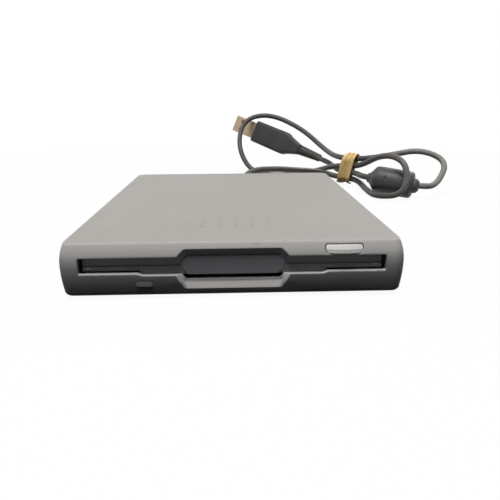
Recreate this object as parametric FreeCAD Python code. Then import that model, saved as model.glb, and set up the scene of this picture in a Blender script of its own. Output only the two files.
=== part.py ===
import FreeCAD, Part
import math
import os

# External floppy disk drive: a flat rounded case that holds a slim 3.5-inch drive mechanism,
# with a fixed USB lead that is folded into a hank behind it.
# Millimetres. Origin: centre of the case's footprint, on the table. +Z up, front at -Y, +X right.

V = FreeCAD.Vector
X_AXIS, Y_AXIS, Z_AXIS = V(1, 0, 0), V(0, 1, 0), V(0, 0, 1)

# ---------------------------------------------------------------- driving dimensions

disk_w, disk_l, disk_t = 90.0, 94.0, 3.3     # a 3.5-inch diskette
disk_hub_l = 44.5       # its shutter edge to its hub centre
disk_inset = 1.5        # its label edge stops this far behind the drive's front
disk_gap = 0.35         # beside it in its holder
disk_slack = 0.2        # under it in its holder
disk_headroom = 0.7     # over it in its holder
load_drop = 2.8         # how far the holder lowers it onto the spindle
eject_travel = 4.5      # travel of the button and its slide

foot_stand = 1.0        # the feet lift the case's underside this far off the table
shell_t = 1.4           # top and bottom walls
side_t = 2.2            # side walls at the belt
front_t = 2.0           # bezel's face at the belt
bezel_d = 5.5           # depth of the bezel moulding, front to joint
seam_w = 0.15           # width of the shadow line at a joint
front_corner_r = 3.8    # plan radius of the case's front corners at the belt
rear_corner_r = 6.0     # and of its rear corners
cavity_r = 2.0
belt_drop = 7.2         # top face to the belt, the widest line and the joint of the two covers
crease_inset = 1.7      # how far the top face's edge lies inside the belt
shoulder_inset = 0.4    # the same where the flank starts to round over to the top
shoulder_h = 3.6        # height of that rounding
skirt_inset = 0.75      # the same at the start of the bottom rounding
skirt_h = 1.65          # height of the bottom rounding
sole_inset = 2.35       # how far the flat underside's edge lies inside the belt

sheet_t = 0.5           # mechanism's thin sheet metal
tray_t = 0.8            # mechanism's tray
tray_gap = 0.2          # between tray and case floor
motor_room = 2.8        # tray to a seated diskette
lever_room = 0.6        # between holder and eject slide, for the shutter lever
lid_gap = 0.5           # above the eject slide
roof_gap = 0.6          # between the mechanism's lid and the case's top
side_gap = 0.25         # holder to slide, and tray to lid
slide_gap = 0.35        # slide to tray
side_room = 1.45        # lid to case
pin_gap = 0.05          # radial running clearance of pins and shafts

slot_margin = 1.0       # slot beyond the diskette at each side
slot_over = 0.15        # slot's top above the holder's
slot_under = 0.55       # slot's lower edge below the holder's floor, at the sides
slot_step = 0.6         # and this much lower again nearer the middle
slot_step_in = 18.2     # where it steps, from the slot's ends
# finger scoop: right half of its outline at the face and at the slot, as X and height over the diskette
scoop_front = [(15.2, 8.6), (17.6, 3.8), (17.4, -1.5), (15.0, -7.6)]
scoop_back = [(13.9, 4.3), (15.8, 3.0), (16.0, -0.6), (14.1, -2.6)]
scoop_round = 1.8
edge_round = 0.5

flap_hinge_in, flap_hinge_up = 3.5, 0.75     # hinge behind the front face, and above the slot
flap_t = 1.0
flap_gap = 0.9          # at each end, in the slot
flap_pin_r = 0.6
flap_overlap = 0.45     # how far the flap stops above the slot's lower edge

button_from_side, button_w, button_h = 18.9, 11.0, 2.4
button_drop = 1.35      # top face to the button
button_d = 6.2
button_top_r, button_low_r = 0.6, 1.1
button_proud = 0.35     # how far its middle stands out of the face
button_bow_r = 17.0     # its face is bowed from end to end
button_ridge_up, button_slope = 1.2, 0.9     # over the ridge the face leans back this far
button_gap = 0.25
lamp_from_side, lamp_under_slot = 25.55, 3.2
lamp_w, lamp_h = 5.0, 1.45

hub_r = 12.5
rotor_r = 20.2
shaft_r = 1.5
rotor_lift = 1.6        # tray to the rotor's disc
rotor_t = 0.6

head_track0 = 39.5      # outermost track, from the hub centre
head_travel = 14.8
arm_l = 22.5            # head to the carriage's block
carriage_l = 12.0
bracket_t = 0.8
motor_l = 7.6
motor_gap = 0.4         # stepper motor to the tray's rear wall
rear_room = 4.2         # tray to the case's rear wall
rod_x, rod_lift, rod_r = -16.0, 3.6, 1.5
screw_x, screw_lift, screw_r = 17.0, 5.5, 1.5
screw_pitch = 3.0

cord_d = 3.5
bore_gap = 0.05

# The lead's route as X, distance behind the case and height, from inside the rear wall to the plug.
# It leaves the gland, passes the band, turns once round the ferrite sleeve, passes back, makes the
# tall left loop, passes again, makes the right loop, goes through the sleeve and a last time under
# the band to the plug.
cord_route = [
    (4, -5, 10), (4, 10, 10), (10.5, 23, 16), (27, 34.5, 15), (40.5, 44, 12.8),
    (51.5, 54, 10.8), (61, 60, 8.6), (69.5, 56, 6.3), (79.5, 45.5, 6.3),
    (79.4, 18, 3.8), (82.8, 8.5, 2.1), (95, 1, 4), (98, 1.5, 14), (96, 6, 23.5), (88, 20, 25),
    (80.3, 45, 14.2), (67.3, 55, 14.2),
    (57, 72.5, 8), (38.5, 93, 2.2), (14.5, 101, 2.4), (4, 112.5, 20), (8, 124, 40), (28, 127, 44.8),
    (51.5, 112.5, 34.5), (67, 91, 19.8), (68.8, 57, 18.9), (81.3, 46, 18.9),
    (97.5, 38.5, 22), (115.5, 35, 26), (130.2, 28, 19.5), (120.5, 15, 8), (110, 7.2, 7),
    (78, 24.7, 11.2), (77.8, 34.5, 11), (78, 46, 10.3), (70, 56.5, 10.3),
    (69.5, 74, 10.8), (68.7, 90.3, 12), (50, 103.5, 19.2),
]
band_place = (74.6, 51.0, 12.75)
band_along = V(0.783, -0.622, 0)
band_wraps, band_w = 3, 2.7     # turns of the band and its width
band_lean = 22          # degrees its top leans along the lead
band_t = 1.1
band_inner_w, band_inner_h = 7.2, 16.8

sleeve_r = 7.8
sleeve_from, sleeve_to = 6.9, 30.6       # along the run that passes through it
sleeve_wall = 1.5
plug_face = V(-0.494, -0.835, 0.242)     # the way the plug's broad side looks

# ---------------------------------------------------------------- derived places

# side to side, from the diskette outwards
holder_in_x = disk_w / 2 + disk_gap
holder_out_x = holder_in_x + sheet_t
slide_in_x = holder_out_x + side_gap
slide_out_x = slide_in_x + sheet_t
tray_in_x = slide_out_x + slide_gap
tray_out_x = tray_in_x + tray_t
lid_in_x = tray_out_x + side_gap
lid_out_x = lid_in_x + sheet_t
half_w = lid_out_x + side_room + side_t

# front to back: the diskette's hub, then the heads, their carriage and its motor
head_bay = head_track0 + arm_l + carriage_l + 1.0 + bracket_t + motor_l + motor_gap
half_d = (disk_inset + disk_l - disk_hub_l + head_bay + tray_t + rear_room + side_t) / 2
front_in_y = -half_d + front_t
seam_y = -half_d + bezel_d
back_in_y = half_d - side_t
disk_front_y = -half_d + disk_inset
disk_rear_y = disk_front_y + disk_l
hub_y = disk_rear_y - disk_hub_l
head_y = hub_y + head_track0
flap_hinge_y = -half_d + flap_hinge_in
tray_y0, tray_y1 = -half_d + 10.8, back_in_y - rear_room

# from the table up
case_z0 = foot_stand
floor_z = case_z0 + shell_t
tray_z0 = floor_z + tray_gap
tray_top = tray_z0 + tray_t
disk_z = tray_top + motor_room + load_drop
holder_z0 = disk_z - disk_slack
holder_z1 = disk_z + disk_t + disk_headroom
slide_z = holder_z1 + sheet_t + lever_room
lid_z = slide_z + sheet_t + lid_gap
roof_z = lid_z + sheet_t + roof_gap
case_h = roof_z + shell_t
belt_z = case_h - belt_drop

slot_w = disk_w + 2 * slot_margin
slot_top = holder_z1 + slot_over
slot_side_z = holder_z0 - slot_under
slot_mid_z = slot_side_z - slot_step
slot_step_x = slot_w / 2 - slot_step_in
flap_w = slot_w - 2 * flap_gap
flap_hinge_z = slot_top + flap_hinge_up
flap_y0 = flap_hinge_y - 1.3
flap_side_z, flap_mid_z = slot_side_z + flap_overlap, slot_mid_z - 0.35
flap_reach = math.hypot(flap_hinge_y - flap_y0, flap_hinge_z - flap_mid_z)
holder_y0, holder_y1 = flap_hinge_y + flap_reach + 2.1, disk_rear_y + 0.3
lug_r, lug_z, lug_ys = 1.0, disk_z + 2.0, (tray_y0 + 15.2, disk_rear_y - 12.5)
lug_out_x = tray_out_x + 0.1

button_x = half_w - button_from_side
button_z1 = case_h - button_drop
button_z0 = button_z1 - button_h
lamp_x, lamp_z = lamp_from_side - half_w, slot_side_z - lamp_under_slot

motor_z = tray_top + rotor_lift
rod_z, screw_z = tray_top + rod_lift, tray_top + screw_lift
arm_hinge_y, arm_hinge_z = head_y + arm_l + 4.0, holder_z1 + 0.6

cord_r = cord_d / 2
cord_points = [(x, behind + half_d, z) for x, behind, z in cord_route]
band_centre = V(band_place[0], band_place[1] + half_d, band_place[2])


# ---------------------------------------------------------------- small helpers

def box(x0, x1, y0, y1, z0, z1):
    return Part.makeBox(x1 - x0, y1 - y0, z1 - z0, V(x0, y0, z0))


def rod(radius, start, direction, length):
    return Part.makeCylinder(radius, length, start, direction)


def tube(outer, inner, start, direction, length):
    return rod(outer, start, direction, length).cut(rod(inner, start, direction, length))


def fused(shapes):
    whole = shapes[0]
    if len(shapes) > 1:
        whole = whole.multiFuse(list(shapes[1:]))
    return whole.removeSplitter()


def group(shapes):
    return Part.makeCompound(shapes)


def rounded_wire(points, radius):
    """Closed outline through points, each corner an arc of radius, or of its own radius."""
    radii = radius if isinstance(radius, (list, tuple)) else [radius] * len(points)
    edges, ends = [], []
    for i, corner in enumerate(points):
        to_last = (points[i - 1] - corner).normalize()
        to_next = (points[(i + 1) % len(points)] - corner).normalize()
        half = to_last.getAngle(to_next) / 2
        middle = (to_last + to_next).normalize()
        reach = radii[i] / math.tan(half)
        mid_point = corner + middle * (radii[i] / math.sin(half) - radii[i])
        ends.append((corner + to_last * reach, mid_point, corner + to_next * reach))
    for i, (start, mid_point, end) in enumerate(ends):
        last_end = ends[i - 1][2]
        if last_end.distanceToPoint(start) > 1e-6:
            edges.append(Part.LineSegment(last_end, start).toShape())
        edges.append(Part.Arc(start, mid_point, end).toShape())
    return Part.Wire(Part.__sortEdges__(edges))


def plate(points, radius, z0, z1):
    """Flat plate with a rounded outline given as X and Y."""
    wire = rounded_wire([V(x, y, z0) for x, y in points], radius)
    return Part.Face(wire).extrude(V(0, 0, z1 - z0))


def rounded_box(x0, x1, y0, y1, z0, z1, radius):
    return plate([(x0, y0), (x1, y0), (x1, y1), (x0, y1)], radius, z0, z1)


def wall(points, radius, y0, y1):
    """Upright plate with a rounded outline given as X and Z."""
    wire = rounded_wire([V(x, y0, z) for x, z in points], radius)
    return Part.Face(wire).extrude(V(0, y1 - y0, 0))


def slotted(y0, z0, y1, z1, radius, x0, x1):
    """Slot between two places in the YZ plane, cut along X."""
    along = V(0, y1 - y0, z1 - z0)
    side = V(0, -along.z, along.y).normalize() * radius
    a, b = V(x0, y0, z0), V(x0, y1, z1)
    tip = V(along).normalize() * radius
    edges = [
        Part.LineSegment(a + side, b + side).toShape(),
        Part.Arc(b + side, b + tip, b - side).toShape(),
        Part.LineSegment(b - side, a - side).toShape(),
        Part.Arc(a - side, a - tip, a + side).toShape(),
    ]
    return Part.Face(Part.Wire(edges)).extrude(V(x1 - x0, 0, 0))


def turned(profile, start, direction):
    """Solid of revolution: profile is a list of (distance along, radius) about an axis."""
    points = [V(r, 0, s) for s, r in profile]
    points = [V(0, 0, profile[0][0])] + points + [V(0, 0, profile[-1][0]), V(0, 0, profile[0][0])]
    solid = Part.Face(Part.makePolygon(points)).revolve(V(0, 0, 0), Z_AXIS, 360)
    turn = FreeCAD.Rotation(Z_AXIS, direction)
    solid.Placement = FreeCAD.Placement(start, turn)
    return Part.makeSolid(Part.Shell(solid.Faces))


def mirrored_pair(shape):
    return [shape, shape.mirror(V(0, 0, 0), X_AXIS)]


def save(node, shape):
    shape.exportStep("parts/" + node + ".step")
    solids = len(shape.Solids)
    print(f"{node:24s} {solids:3d} solid(s)  {shape.Volume:10.1f} mm3  valid {shape.isValid()}")


# ---------------------------------------------------------------- case

def side_profile(reach):
    """Half section of the case's edge as a face in the XZ plane; X runs out from a corner's
    centre line and reach is its value at the belt."""
    def arc_to(x0, z0, x1, z1, sag):
        middle = V((x0 + x1) / 2, 0, (z0 + z1) / 2)
        normal = V(z0 - z1, 0, x1 - x0).normalize()
        if normal.x < 0:
            normal = -normal
        return Part.Arc(V(x0, 0, z0), middle + normal * sag, V(x1, 0, z1)).toShape()

    sole_x = reach - sole_inset
    skirt_x, skirt_z = reach - skirt_inset, case_z0 + skirt_h
    shoulder_x, shoulder_z = reach - shoulder_inset, case_h - shoulder_h
    crease_x = reach - crease_inset
    lines = [(V(0, 0, case_z0), V(sole_x, 0, case_z0)), (V(crease_x, 0, case_h), V(0, 0, case_h)),
             (V(0, 0, case_h), V(0, 0, case_z0))]
    edges = [Part.LineSegment(a, b).toShape() for a, b in lines]
    edges.append(arc_to(sole_x, case_z0, skirt_x, skirt_z, 0.45))
    edges.append(arc_to(skirt_x, skirt_z, reach, belt_z, skirt_inset / 4))
    edges.append(arc_to(reach, belt_z, shoulder_x, shoulder_z, shoulder_inset / 4))
    edges.append(arc_to(shoulder_x, shoulder_z, crease_x, case_h, (crease_inset - shoulder_inset) / 11))
    return Part.Face(Part.Wire(Part.__sortEdges__(edges)))


def case_block():
    """Outer form of the whole case as one solid."""
    front_x, front_y = half_w - front_corner_r, half_d - front_corner_r
    rear_x, rear_y = half_w - rear_corner_r, half_d - rear_corner_r
    pieces = [box(-front_x, front_x, -front_y, rear_y, case_z0, case_h)]
    for radius, turn, x, y in ((rear_corner_r, 0, rear_x, rear_y), (rear_corner_r, 90, -rear_x, rear_y),
                               (front_corner_r, 180, -front_x, -front_y),
                               (front_corner_r, 270, front_x, -front_y)):
        corner = side_profile(radius).revolve(V(0, 0, 0), Z_AXIS, 90)
        corner.rotate(V(0, 0, 0), Z_AXIS, turn)
        corner.translate(V(x, y, 0))
        pieces.append(corner)
    # each side: its corners' radius, its place, and how far it runs back and forth along itself
    for radius, turn, out, run0, run1 in ((front_corner_r, 0, front_x, -front_y, rear_y),
                                          (rear_corner_r, 90, rear_y, -rear_x, rear_x),
                                          (front_corner_r, 180, front_x, -rear_y, front_y),
                                          (front_corner_r, 270, front_y, -front_x, front_x)):
        side = side_profile(radius).extrude(V(0, run1 - run0, 0))
        side.translate(V(out, run0, 0))
        side.rotate(V(0, 0, 0), Z_AXIS, turn)
        pieces.append(side)
    return fused(pieces)


def case_plan(inset, z0, z1):
    """Upright block that follows the case's plan outline, this far inside the belt."""
    x, y = half_w - inset, half_d - inset
    radii = [front_corner_r - inset] * 2 + [rear_corner_r - inset] * 2
    return plate([(-x, -y), (x, -y), (x, y), (-x, y)], radii, z0, z1)


def cavity(y0=front_in_y, y1=back_in_y):
    x = half_w - side_t
    whole = rounded_box(-x, x, front_in_y, back_in_y, floor_z, roof_z, cavity_r)
    return whole.common(box(-half_w, half_w, y0, y1, 0, case_h))


def lid_tool():
    """The part of the top plate that laps over the bezel, up to the crease."""
    return case_plan(crease_inset + seam_w, roof_z, case_h + 1)


def gland_hole():
    x, z = cord_points[0][0], cord_points[0][2]
    return rod(gland_neck_r, V(x, back_in_y - 1, z), Y_AXIS, side_t + 2)


gland_neck_r = 3.0
gland_flange_r = 4.2
gland_flange_t = 1.4
boss_r, boss_bore_r = 1.6, 0.85
case_screw_r = 0.8
screw_head_r, screw_head_h = 1.45, 0.9
front_boss = (half_w - 4.7, seam_y + 2.3)
rear_boss = (half_w - 8.0, back_in_y - 1.9)
boss_places = [(side * x, y) for x, y in (front_boss, rear_boss) for side in (-1, 1)]
screw_top = floor_z + 5.6
foot_r, foot_recess = 5.0, 0.5
foot_places = [(sx * (half_w - 12.0), sy * (half_d - 15.0)) for sx in (-1, 1) for sy in (-1, 1)]
tray_screw_r = 0.9
tray_screw_places = [(sx * (tray_in_x - 4.95), y) for sx in (-1, 1)
                     for y in (tray_y0 + 8.2, tray_y1 - 7.1)]
pad_r = 3.0
dimple_r, dimple_deep = 0.45, 0.35
belt_groove_d = 0.35
dimple_columns = [1.1 + i * 5.55 for i in range(-2, 3)]
dimple_rows = [-half_d + behind for behind in (30.5, 25.7, 20.6)]


def belt_groove():
    """Shadow line all round the belt, cut into the lower cover's edge."""
    ring = box(-half_w - 1, half_w + 1, seam_y, half_d + 1, belt_z - seam_w, belt_z)
    return ring.cut(case_plan(belt_groove_d, belt_z - 1, belt_z + 1))


def top_cover(block):
    upper = block.common(box(-half_w - 1, half_w + 1, seam_y, half_d + 1, belt_z, case_h + 1))
    plate_part = block.common(lid_tool())
    bosses = [rod(boss_r, V(x, y, floor_z), Z_AXIS, roof_z - floor_z + 0.2) for x, y in boss_places]
    cover = fused([upper, plate_part]).cut(cavity(seam_y))
    cover = fused([cover] + bosses)
    bores = [rod(boss_bore_r, V(x, y, floor_z - 1), Z_AXIS, screw_top - floor_z + 2)
             for x, y in boss_places]
    relief_half = button_w / 2 + button_gap + 0.3
    relief = box(button_x - relief_half, button_x + relief_half, -half_d, seam_y + 2.5,
                 roof_z - 1, button_z1 + button_gap)
    dimples = [rod(dimple_r, V(x, y, case_h - dimple_deep), Z_AXIS, 1)
               for x in dimple_columns for y in dimple_rows]
    return cover.cut(group(bores + [relief, gland_hole()] + dimples))


def bottom_cover(block):
    lower = block.common(box(-half_w - 1, half_w + 1, seam_y, half_d + 1, 0, belt_z))
    cover = lower.cut(cavity(seam_y))
    pads = [rod(pad_r, V(x, y, floor_z - 0.2), Z_AXIS, tray_gap + 0.2) for x, y in tray_screw_places]
    cover = fused([cover] + pads)
    cuts = [belt_groove(), gland_hole()]
    for x, y in boss_places:
        cuts.append(rod(boss_bore_r, V(x, y, 0), Z_AXIS, floor_z + 1))
        cuts.append(rod(screw_head_r + 0.1, V(x, y, 0), Z_AXIS, case_z0 + screw_head_h))
    for x, y in foot_places:
        cuts.append(rod(foot_r, V(x, y, 0), Z_AXIS, case_z0 + foot_recess))
    for x, y in tray_screw_places:
        cuts.append(rod(tray_screw_r + pin_gap, V(x, y, case_z0 + 0.5), Z_AXIS, 3))
    return cover.cut(group(cuts))


def rubber_feet():
    return group([turned([(0, foot_r - 0.4), (0.4, foot_r), (foot_stand + foot_recess, foot_r)],
                         V(x, y, 0), Z_AXIS) for x, y in foot_places])


def case_screws():
    seat_z = case_z0 + screw_head_h
    return group([screw(x, y, seat_z, -1, case_screw_r, screw_top - 2.5) for x, y in boss_places])


def screw(x, y, seat_z, head_side, radius, shank):
    """Cross-recess screw: head_side is +1 for a head above its seat, -1 for one below it."""
    head = rod(screw_head_r, V(x, y, seat_z), Z_AXIS * head_side, screw_head_h * 0.85)
    body = rod(radius, V(x, y, seat_z), Z_AXIS * -head_side, shank)
    solid = fused([head, body])
    face_z = seat_z + head_side * screw_head_h * 0.85
    for half_x, half_y in ((0.9, 0.18), (0.18, 0.9)):
        solid = solid.cut(box(x - half_x, x + half_x, y - half_y, y + half_y, face_z - 0.4, face_z + 0.4))
    return solid


# ---------------------------------------------------------------- bezel, flap, button, lamp

def both_halves(right_half):
    """Full outline from its right half, top to bottom."""
    return [V(x, 0, z) for x, z in right_half] + [V(-x, 0, z) for x, z in reversed(right_half)]


def over_disk(points):
    return [(x, disk_z + up) for x, up in points]


def scoop_tool():
    """Finger scoop: a shallow dish that narrows from the face to the slot behind it."""
    rims = []
    for outline, y, radius in ((scoop_front, -half_d - 0.3, scoop_round),
                               (scoop_back, front_in_y + 0.1, scoop_round * 0.6)):
        rims.append(rounded_wire([p + V(0, y, 0) for p in both_halves(over_disk(outline))], radius))
    return Part.makeLoft(rims, True, True)


def slot_tool():
    x = slot_w / 2
    right = [(x, slot_top), (x, slot_side_z), (slot_step_x + 0.8, slot_side_z),
             (slot_step_x - 0.8, slot_mid_z)]
    points = [(p.x, p.z) for p in both_halves(right)]
    radii = [edge_round, edge_round, 0.4, 0.4, 0.4, 0.4, edge_round, edge_round]
    return wall(points, radii, -half_d - 1, front_in_y + 1)


flap_pin_end = flap_w / 2 + 2.7


def flap_ears():
    """Two ears behind the bezel's face that carry the flap's pins."""
    ear = box(flap_pin_end - 1.1, flap_pin_end + 0.1, front_in_y - 0.3, seam_y, flap_hinge_z - 2.2, roof_z)
    hole = rod(flap_pin_r + pin_gap, V(flap_w / 2, flap_hinge_y, flap_hinge_z), X_AXIS, 4)
    return mirrored_pair(ear.cut(hole))


def button_form(grow, y0, y1):
    x0, x1 = button_x - button_w / 2 - grow, button_x + button_w / 2 + grow
    z0, z1 = button_z0 - grow, button_z1 + grow
    radii = [r + grow for r in (button_low_r, button_low_r, button_top_r, button_top_r)]
    return wall([(x0, z0), (x1, z0), (x1, z1), (x0, z1)], radii, y0, y1)


def lamp_form(grow, y0, y1):
    x0, x1 = lamp_x - lamp_w / 2 - grow, lamp_x + lamp_w / 2 + grow
    z0, z1 = lamp_z - lamp_h / 2 - grow, lamp_z + lamp_h / 2 + grow
    return wall([(x0, z0), (x1, z0), (x1, z1), (x0, z1)], lamp_h / 2 - 0.05 + grow, y0, y1)


def front_bezel(block):
    front = block.common(box(-half_w - 1, half_w + 1, -half_d - 1, seam_y, 0, case_h + 1))
    bezel = front.cut(cavity()).cut(lid_tool())
    bezel = bezel.cut(slot_tool()).cut(scoop_tool())
    bezel = bezel.cut(button_form(button_gap, -half_d - 1, seam_y))
    bezel = bezel.cut(lamp_form(0.02, -half_d - 1, seam_y))
    tongue = box(half_w - 18, half_w - 10, front_in_y - 0.2, seam_y + 2.5, floor_z + 0.05, floor_z + 0.85)
    return fused([bezel] + flap_ears() + mirrored_pair(tongue))


def dust_flap():
    """Swings in and up about pins at its top corners; a raised pad in the middle."""
    x, top = flap_w / 2, flap_hinge_z - 0.1
    side_z, mid_z = flap_side_z, flap_mid_z
    right = [(x, top), (x, side_z), (slot_step_x + 0.8, side_z), (slot_step_x - 0.4, mid_z)]
    points = [(p.x, p.z) for p in both_halves(right)]
    leaf = wall(points, [0.3, 0.3, 0.3, 0.3, 0.3, 0.3, 0.3, 0.3], flap_y0 + 0.35, flap_y0 + flap_t)
    pad_half = [(13.6, slot_top - 0.1), (15.4, mid_z + 4.3), (15.4, mid_z + 1.9), (13.6, mid_z)]
    pad = wall([(p.x, p.z) for p in both_halves(pad_half)], 0.5, flap_y0 - 0.15, flap_y0 + 0.4)
    rib = wall([(14.8, mid_z), (slot_step_x - 0.8, mid_z), (slot_step_x + 0.6, side_z), (x, side_z),
                (x, side_z + 1.4), (14.8, side_z + 1.4)],
               [0.1, 0.3, 0.3, 0.3, 0.3, 0.1], flap_y0, flap_y0 + 0.4)
    ribs = mirrored_pair(rib)
    knuckle = box(x - 3, x, flap_y0 + 0.5, flap_hinge_y + 0.6, flap_hinge_z - 2.0, flap_hinge_z + 0.7)
    knuckle = knuckle.common(rod(1.25, V(x - 3, flap_hinge_y, flap_hinge_z - 0.2), X_AXIS, 3))
    pin = rod(flap_pin_r, V(x - 2, flap_hinge_y, flap_hinge_z), X_AXIS, flap_pin_end - x + 2)
    return fused([leaf, pad] + ribs + mirrored_pair(knuckle) + mirrored_pair(pin))


def flap_spring():
    coil_r, wire_r, turns, pitch = 1.0, 0.16, 2.5, 0.42
    start = V(flap_w / 2 + 0.25, flap_hinge_y, flap_hinge_z)
    return helix_solid(coil_r, wire_r, pitch, turns, start, X_AXIS)


def helix_solid(radius, wire_r, pitch, turns, start, direction):
    helix = Part.makeHelix(pitch, pitch * turns, radius)
    slope = V(0, 1, pitch / (2 * math.pi * radius))
    ring = Part.Wire([Part.Circle(V(radius, 0, 0), slope, wire_r).toShape()])
    coil = Part.Wire(helix.Edges).makePipeShell([ring], True, True)
    coil.Placement = FreeCAD.Placement(start, FreeCAD.Rotation(Z_AXIS, direction))
    return Part.makeSolid(Part.Shell(coil.Faces))


def eject_button():
    """Bowed pill whose face leans back over a ridge."""
    pill = button_form(0, -half_d - 1, -half_d + button_d)
    r, ridge_z = button_bow_r, button_z0 + button_ridge_up
    bow = turned([(0, r), (ridge_z, r), (button_z1 + 1, r - button_slope)],
                 V(button_x, -half_d - button_proud + r, 0), Z_AXIS)
    behind_face = box(-half_w, half_w, -half_d, -half_d + button_d, 0, case_h)
    return pill.common(bow).cut(tongue_form(pin_gap).common(behind_face))


tongue_z = (button_z0 + button_z1 - sheet_t) / 2
tongue_w = 4.0
tongue_tip_y = -half_d + 3.4
slide_y0, slide_y1 = tray_y0 + 5.0, disk_rear_y - 2.5


def tongue_form(grow):
    half = tongue_w / 2 + grow
    return box(button_x - half, button_x + half, tongue_tip_y - grow, slide_y0, tongue_z - grow,
               tongue_z + sheet_t + grow)


def lamp_lens():
    front = lamp_form(0, -half_d + 0.1, front_in_y + 0.4)
    head = lamp_form(0.4, front_in_y, front_in_y + 0.6)
    return fused([front, head])


def activity_led():
    body = box(lamp_x - 1.6, lamp_x + 1.6, front_in_y + 0.6, front_in_y + 1.5, lamp_z - 0.8, lamp_z + 0.8)
    board = box(lamp_x - 5, lamp_x + 5, front_in_y + 1.5, front_in_y + 2.1, floor_z, lamp_z + 1.4)
    return [body, board]


# ---------------------------------------------------------------- mechanism: fixed sheet metal

def drive_tray():
    x = tray_out_x
    pan = box(-x, x, tray_y0, tray_y1, tray_z0, lid_z)
    pan = pan.cut(box(-tray_in_x, tray_in_x, tray_y0 - 1, tray_y1 - tray_t, tray_top, lid_z + 1))
    cuts = [slotted(y, lug_z, y, lug_z - load_drop, lug_r + 0.1, side * x - 2, side * x + 2)
            for y in lug_ys for side in (-1, 1)]
    cuts.append(box(-14, 12, tray_y1 - 2, tray_y1 + 1, tray_top + 2.6, lid_z + 1))
    cuts += [rod(tray_screw_r + 0.2, V(px, py, tray_z0 - 1), Z_AXIS, 3) for px, py in tray_screw_places]
    cuts.append(rod(bearing_r, V(0, hub_y, tray_z0 - 1), Z_AXIS, 3))
    bosses = [rod(1.6, V(bx, by, tray_top - 0.1), Z_AXIS, board_z - tray_top + 0.1)
              for bx, by in board_bosses]
    return fused([pan.cut(group(cuts))] + bosses)


def drive_lid():
    x0, x1 = lid_in_x, lid_out_x
    top = box(-x1, x1, tray_y0, tray_y1, lid_z, lid_z + sheet_t)
    flange = box(x0, x1, tray_y0, tray_y1, lid_z - 3.2, lid_z + sheet_t)
    notch = box(button_x - 3.2, button_x + 3.2, tray_y0 - 1, slide_y0 + 2, lid_z - 1, lid_z + 2)
    vents = [rounded_box(vx - 9, vx + 9, hub_y - 10, hub_y - 6, lid_z - 1, lid_z + 2, 1.9)
             for vx in (-26, 26)]
    return fused([top] + mirrored_pair(flange)).cut(group([notch] + vents))


def tray_screws():
    shank = tray_top - case_z0 - 0.7
    return group([screw(x, y, tray_top, 1, tray_screw_r, shank) for x, y in tray_screw_places])


# ---------------------------------------------------------------- mechanism: holder, slide, shutter lever

lever_pivot = (9.35 - holder_in_x, disk_rear_y - 2.5)
lever_l = 27.0
lever_rest_deg = -36.0
lever_z = holder_z1 + sheet_t + 0.08
lever_t = 0.35
lever_tip_x = lever_pivot[0] + lever_l * math.cos(math.radians(lever_rest_deg))
window_x0, window_x1 = lever_tip_x - 3.35, 8.0


def cartridge_holder():
    """Sheet-metal sleeve that carries the diskette; four lugs guide it down."""
    xo, xi = holder_out_x, holder_in_x
    sleeve = box(-xo, xo, holder_y0, holder_y1, holder_z0 - sheet_t, holder_z1 + sheet_t)
    sleeve = sleeve.cut(box(-xi, xi, holder_y0 - 1, holder_y1 + 1, holder_z0, holder_z1))
    rail_x = disk_w / 2 - 4.5
    sleeve = sleeve.cut(box(-rail_x, rail_x, holder_y0 - 1, holder_y1 + 1, 0, holder_z0 + 0.1))
    heads = box(window_x0, window_x1, disk_rear_y - 22.5, holder_y1 + 1, holder_z1 - 0.1, case_h)
    post = rod(lever_post_r, V(*lever_pivot, holder_z1), Z_AXIS, sheet_t + 0.08 + lever_t)
    lugs = [rod(lug_r, V(xi + 0.1, y, lug_z), X_AXIS, lug_out_x - xi - 0.1) for y in lug_ys]
    return fused([sleeve.cut(heads), post] + [m for lug in lugs for m in mirrored_pair(lug)])


lever_post_r = 1.2


def shutter_lever():
    """Flat lever on the holder's top; its pin draws the diskette's shutter aside."""
    angle = math.radians(lever_rest_deg)
    px, py = lever_pivot
    tip = V(px + lever_l * math.cos(angle), py + lever_l * math.sin(angle), lever_z)
    pivot = V(px, py, lever_z)
    side = V(-math.sin(angle), math.cos(angle), 0)
    edges = [Part.LineSegment(pivot + side * 3, tip + side * 1.8).toShape(),
             Part.LineSegment(tip + side * 1.8, tip - side * 1.8).toShape(),
             Part.LineSegment(tip - side * 1.8, pivot - side * 3).toShape(),
             Part.LineSegment(pivot - side * 3, pivot + side * 3).toShape()]
    arm = Part.Face(Part.Wire(edges)).extrude(V(0, 0, lever_t))
    eye = rod(3.0, pivot, Z_AXIS, lever_t)
    end = rod(1.8, tip, Z_AXIS, lever_t)
    pin = rod(1.0, V(tip.x, tip.y, disk_z + 0.3), Z_AXIS, lever_z - disk_z)
    hole = rod(lever_post_r + pin_gap, pivot - Z_AXIS, Z_AXIS, 3)
    return fused([arm, eye, end, pin]).cut(hole)


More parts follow.
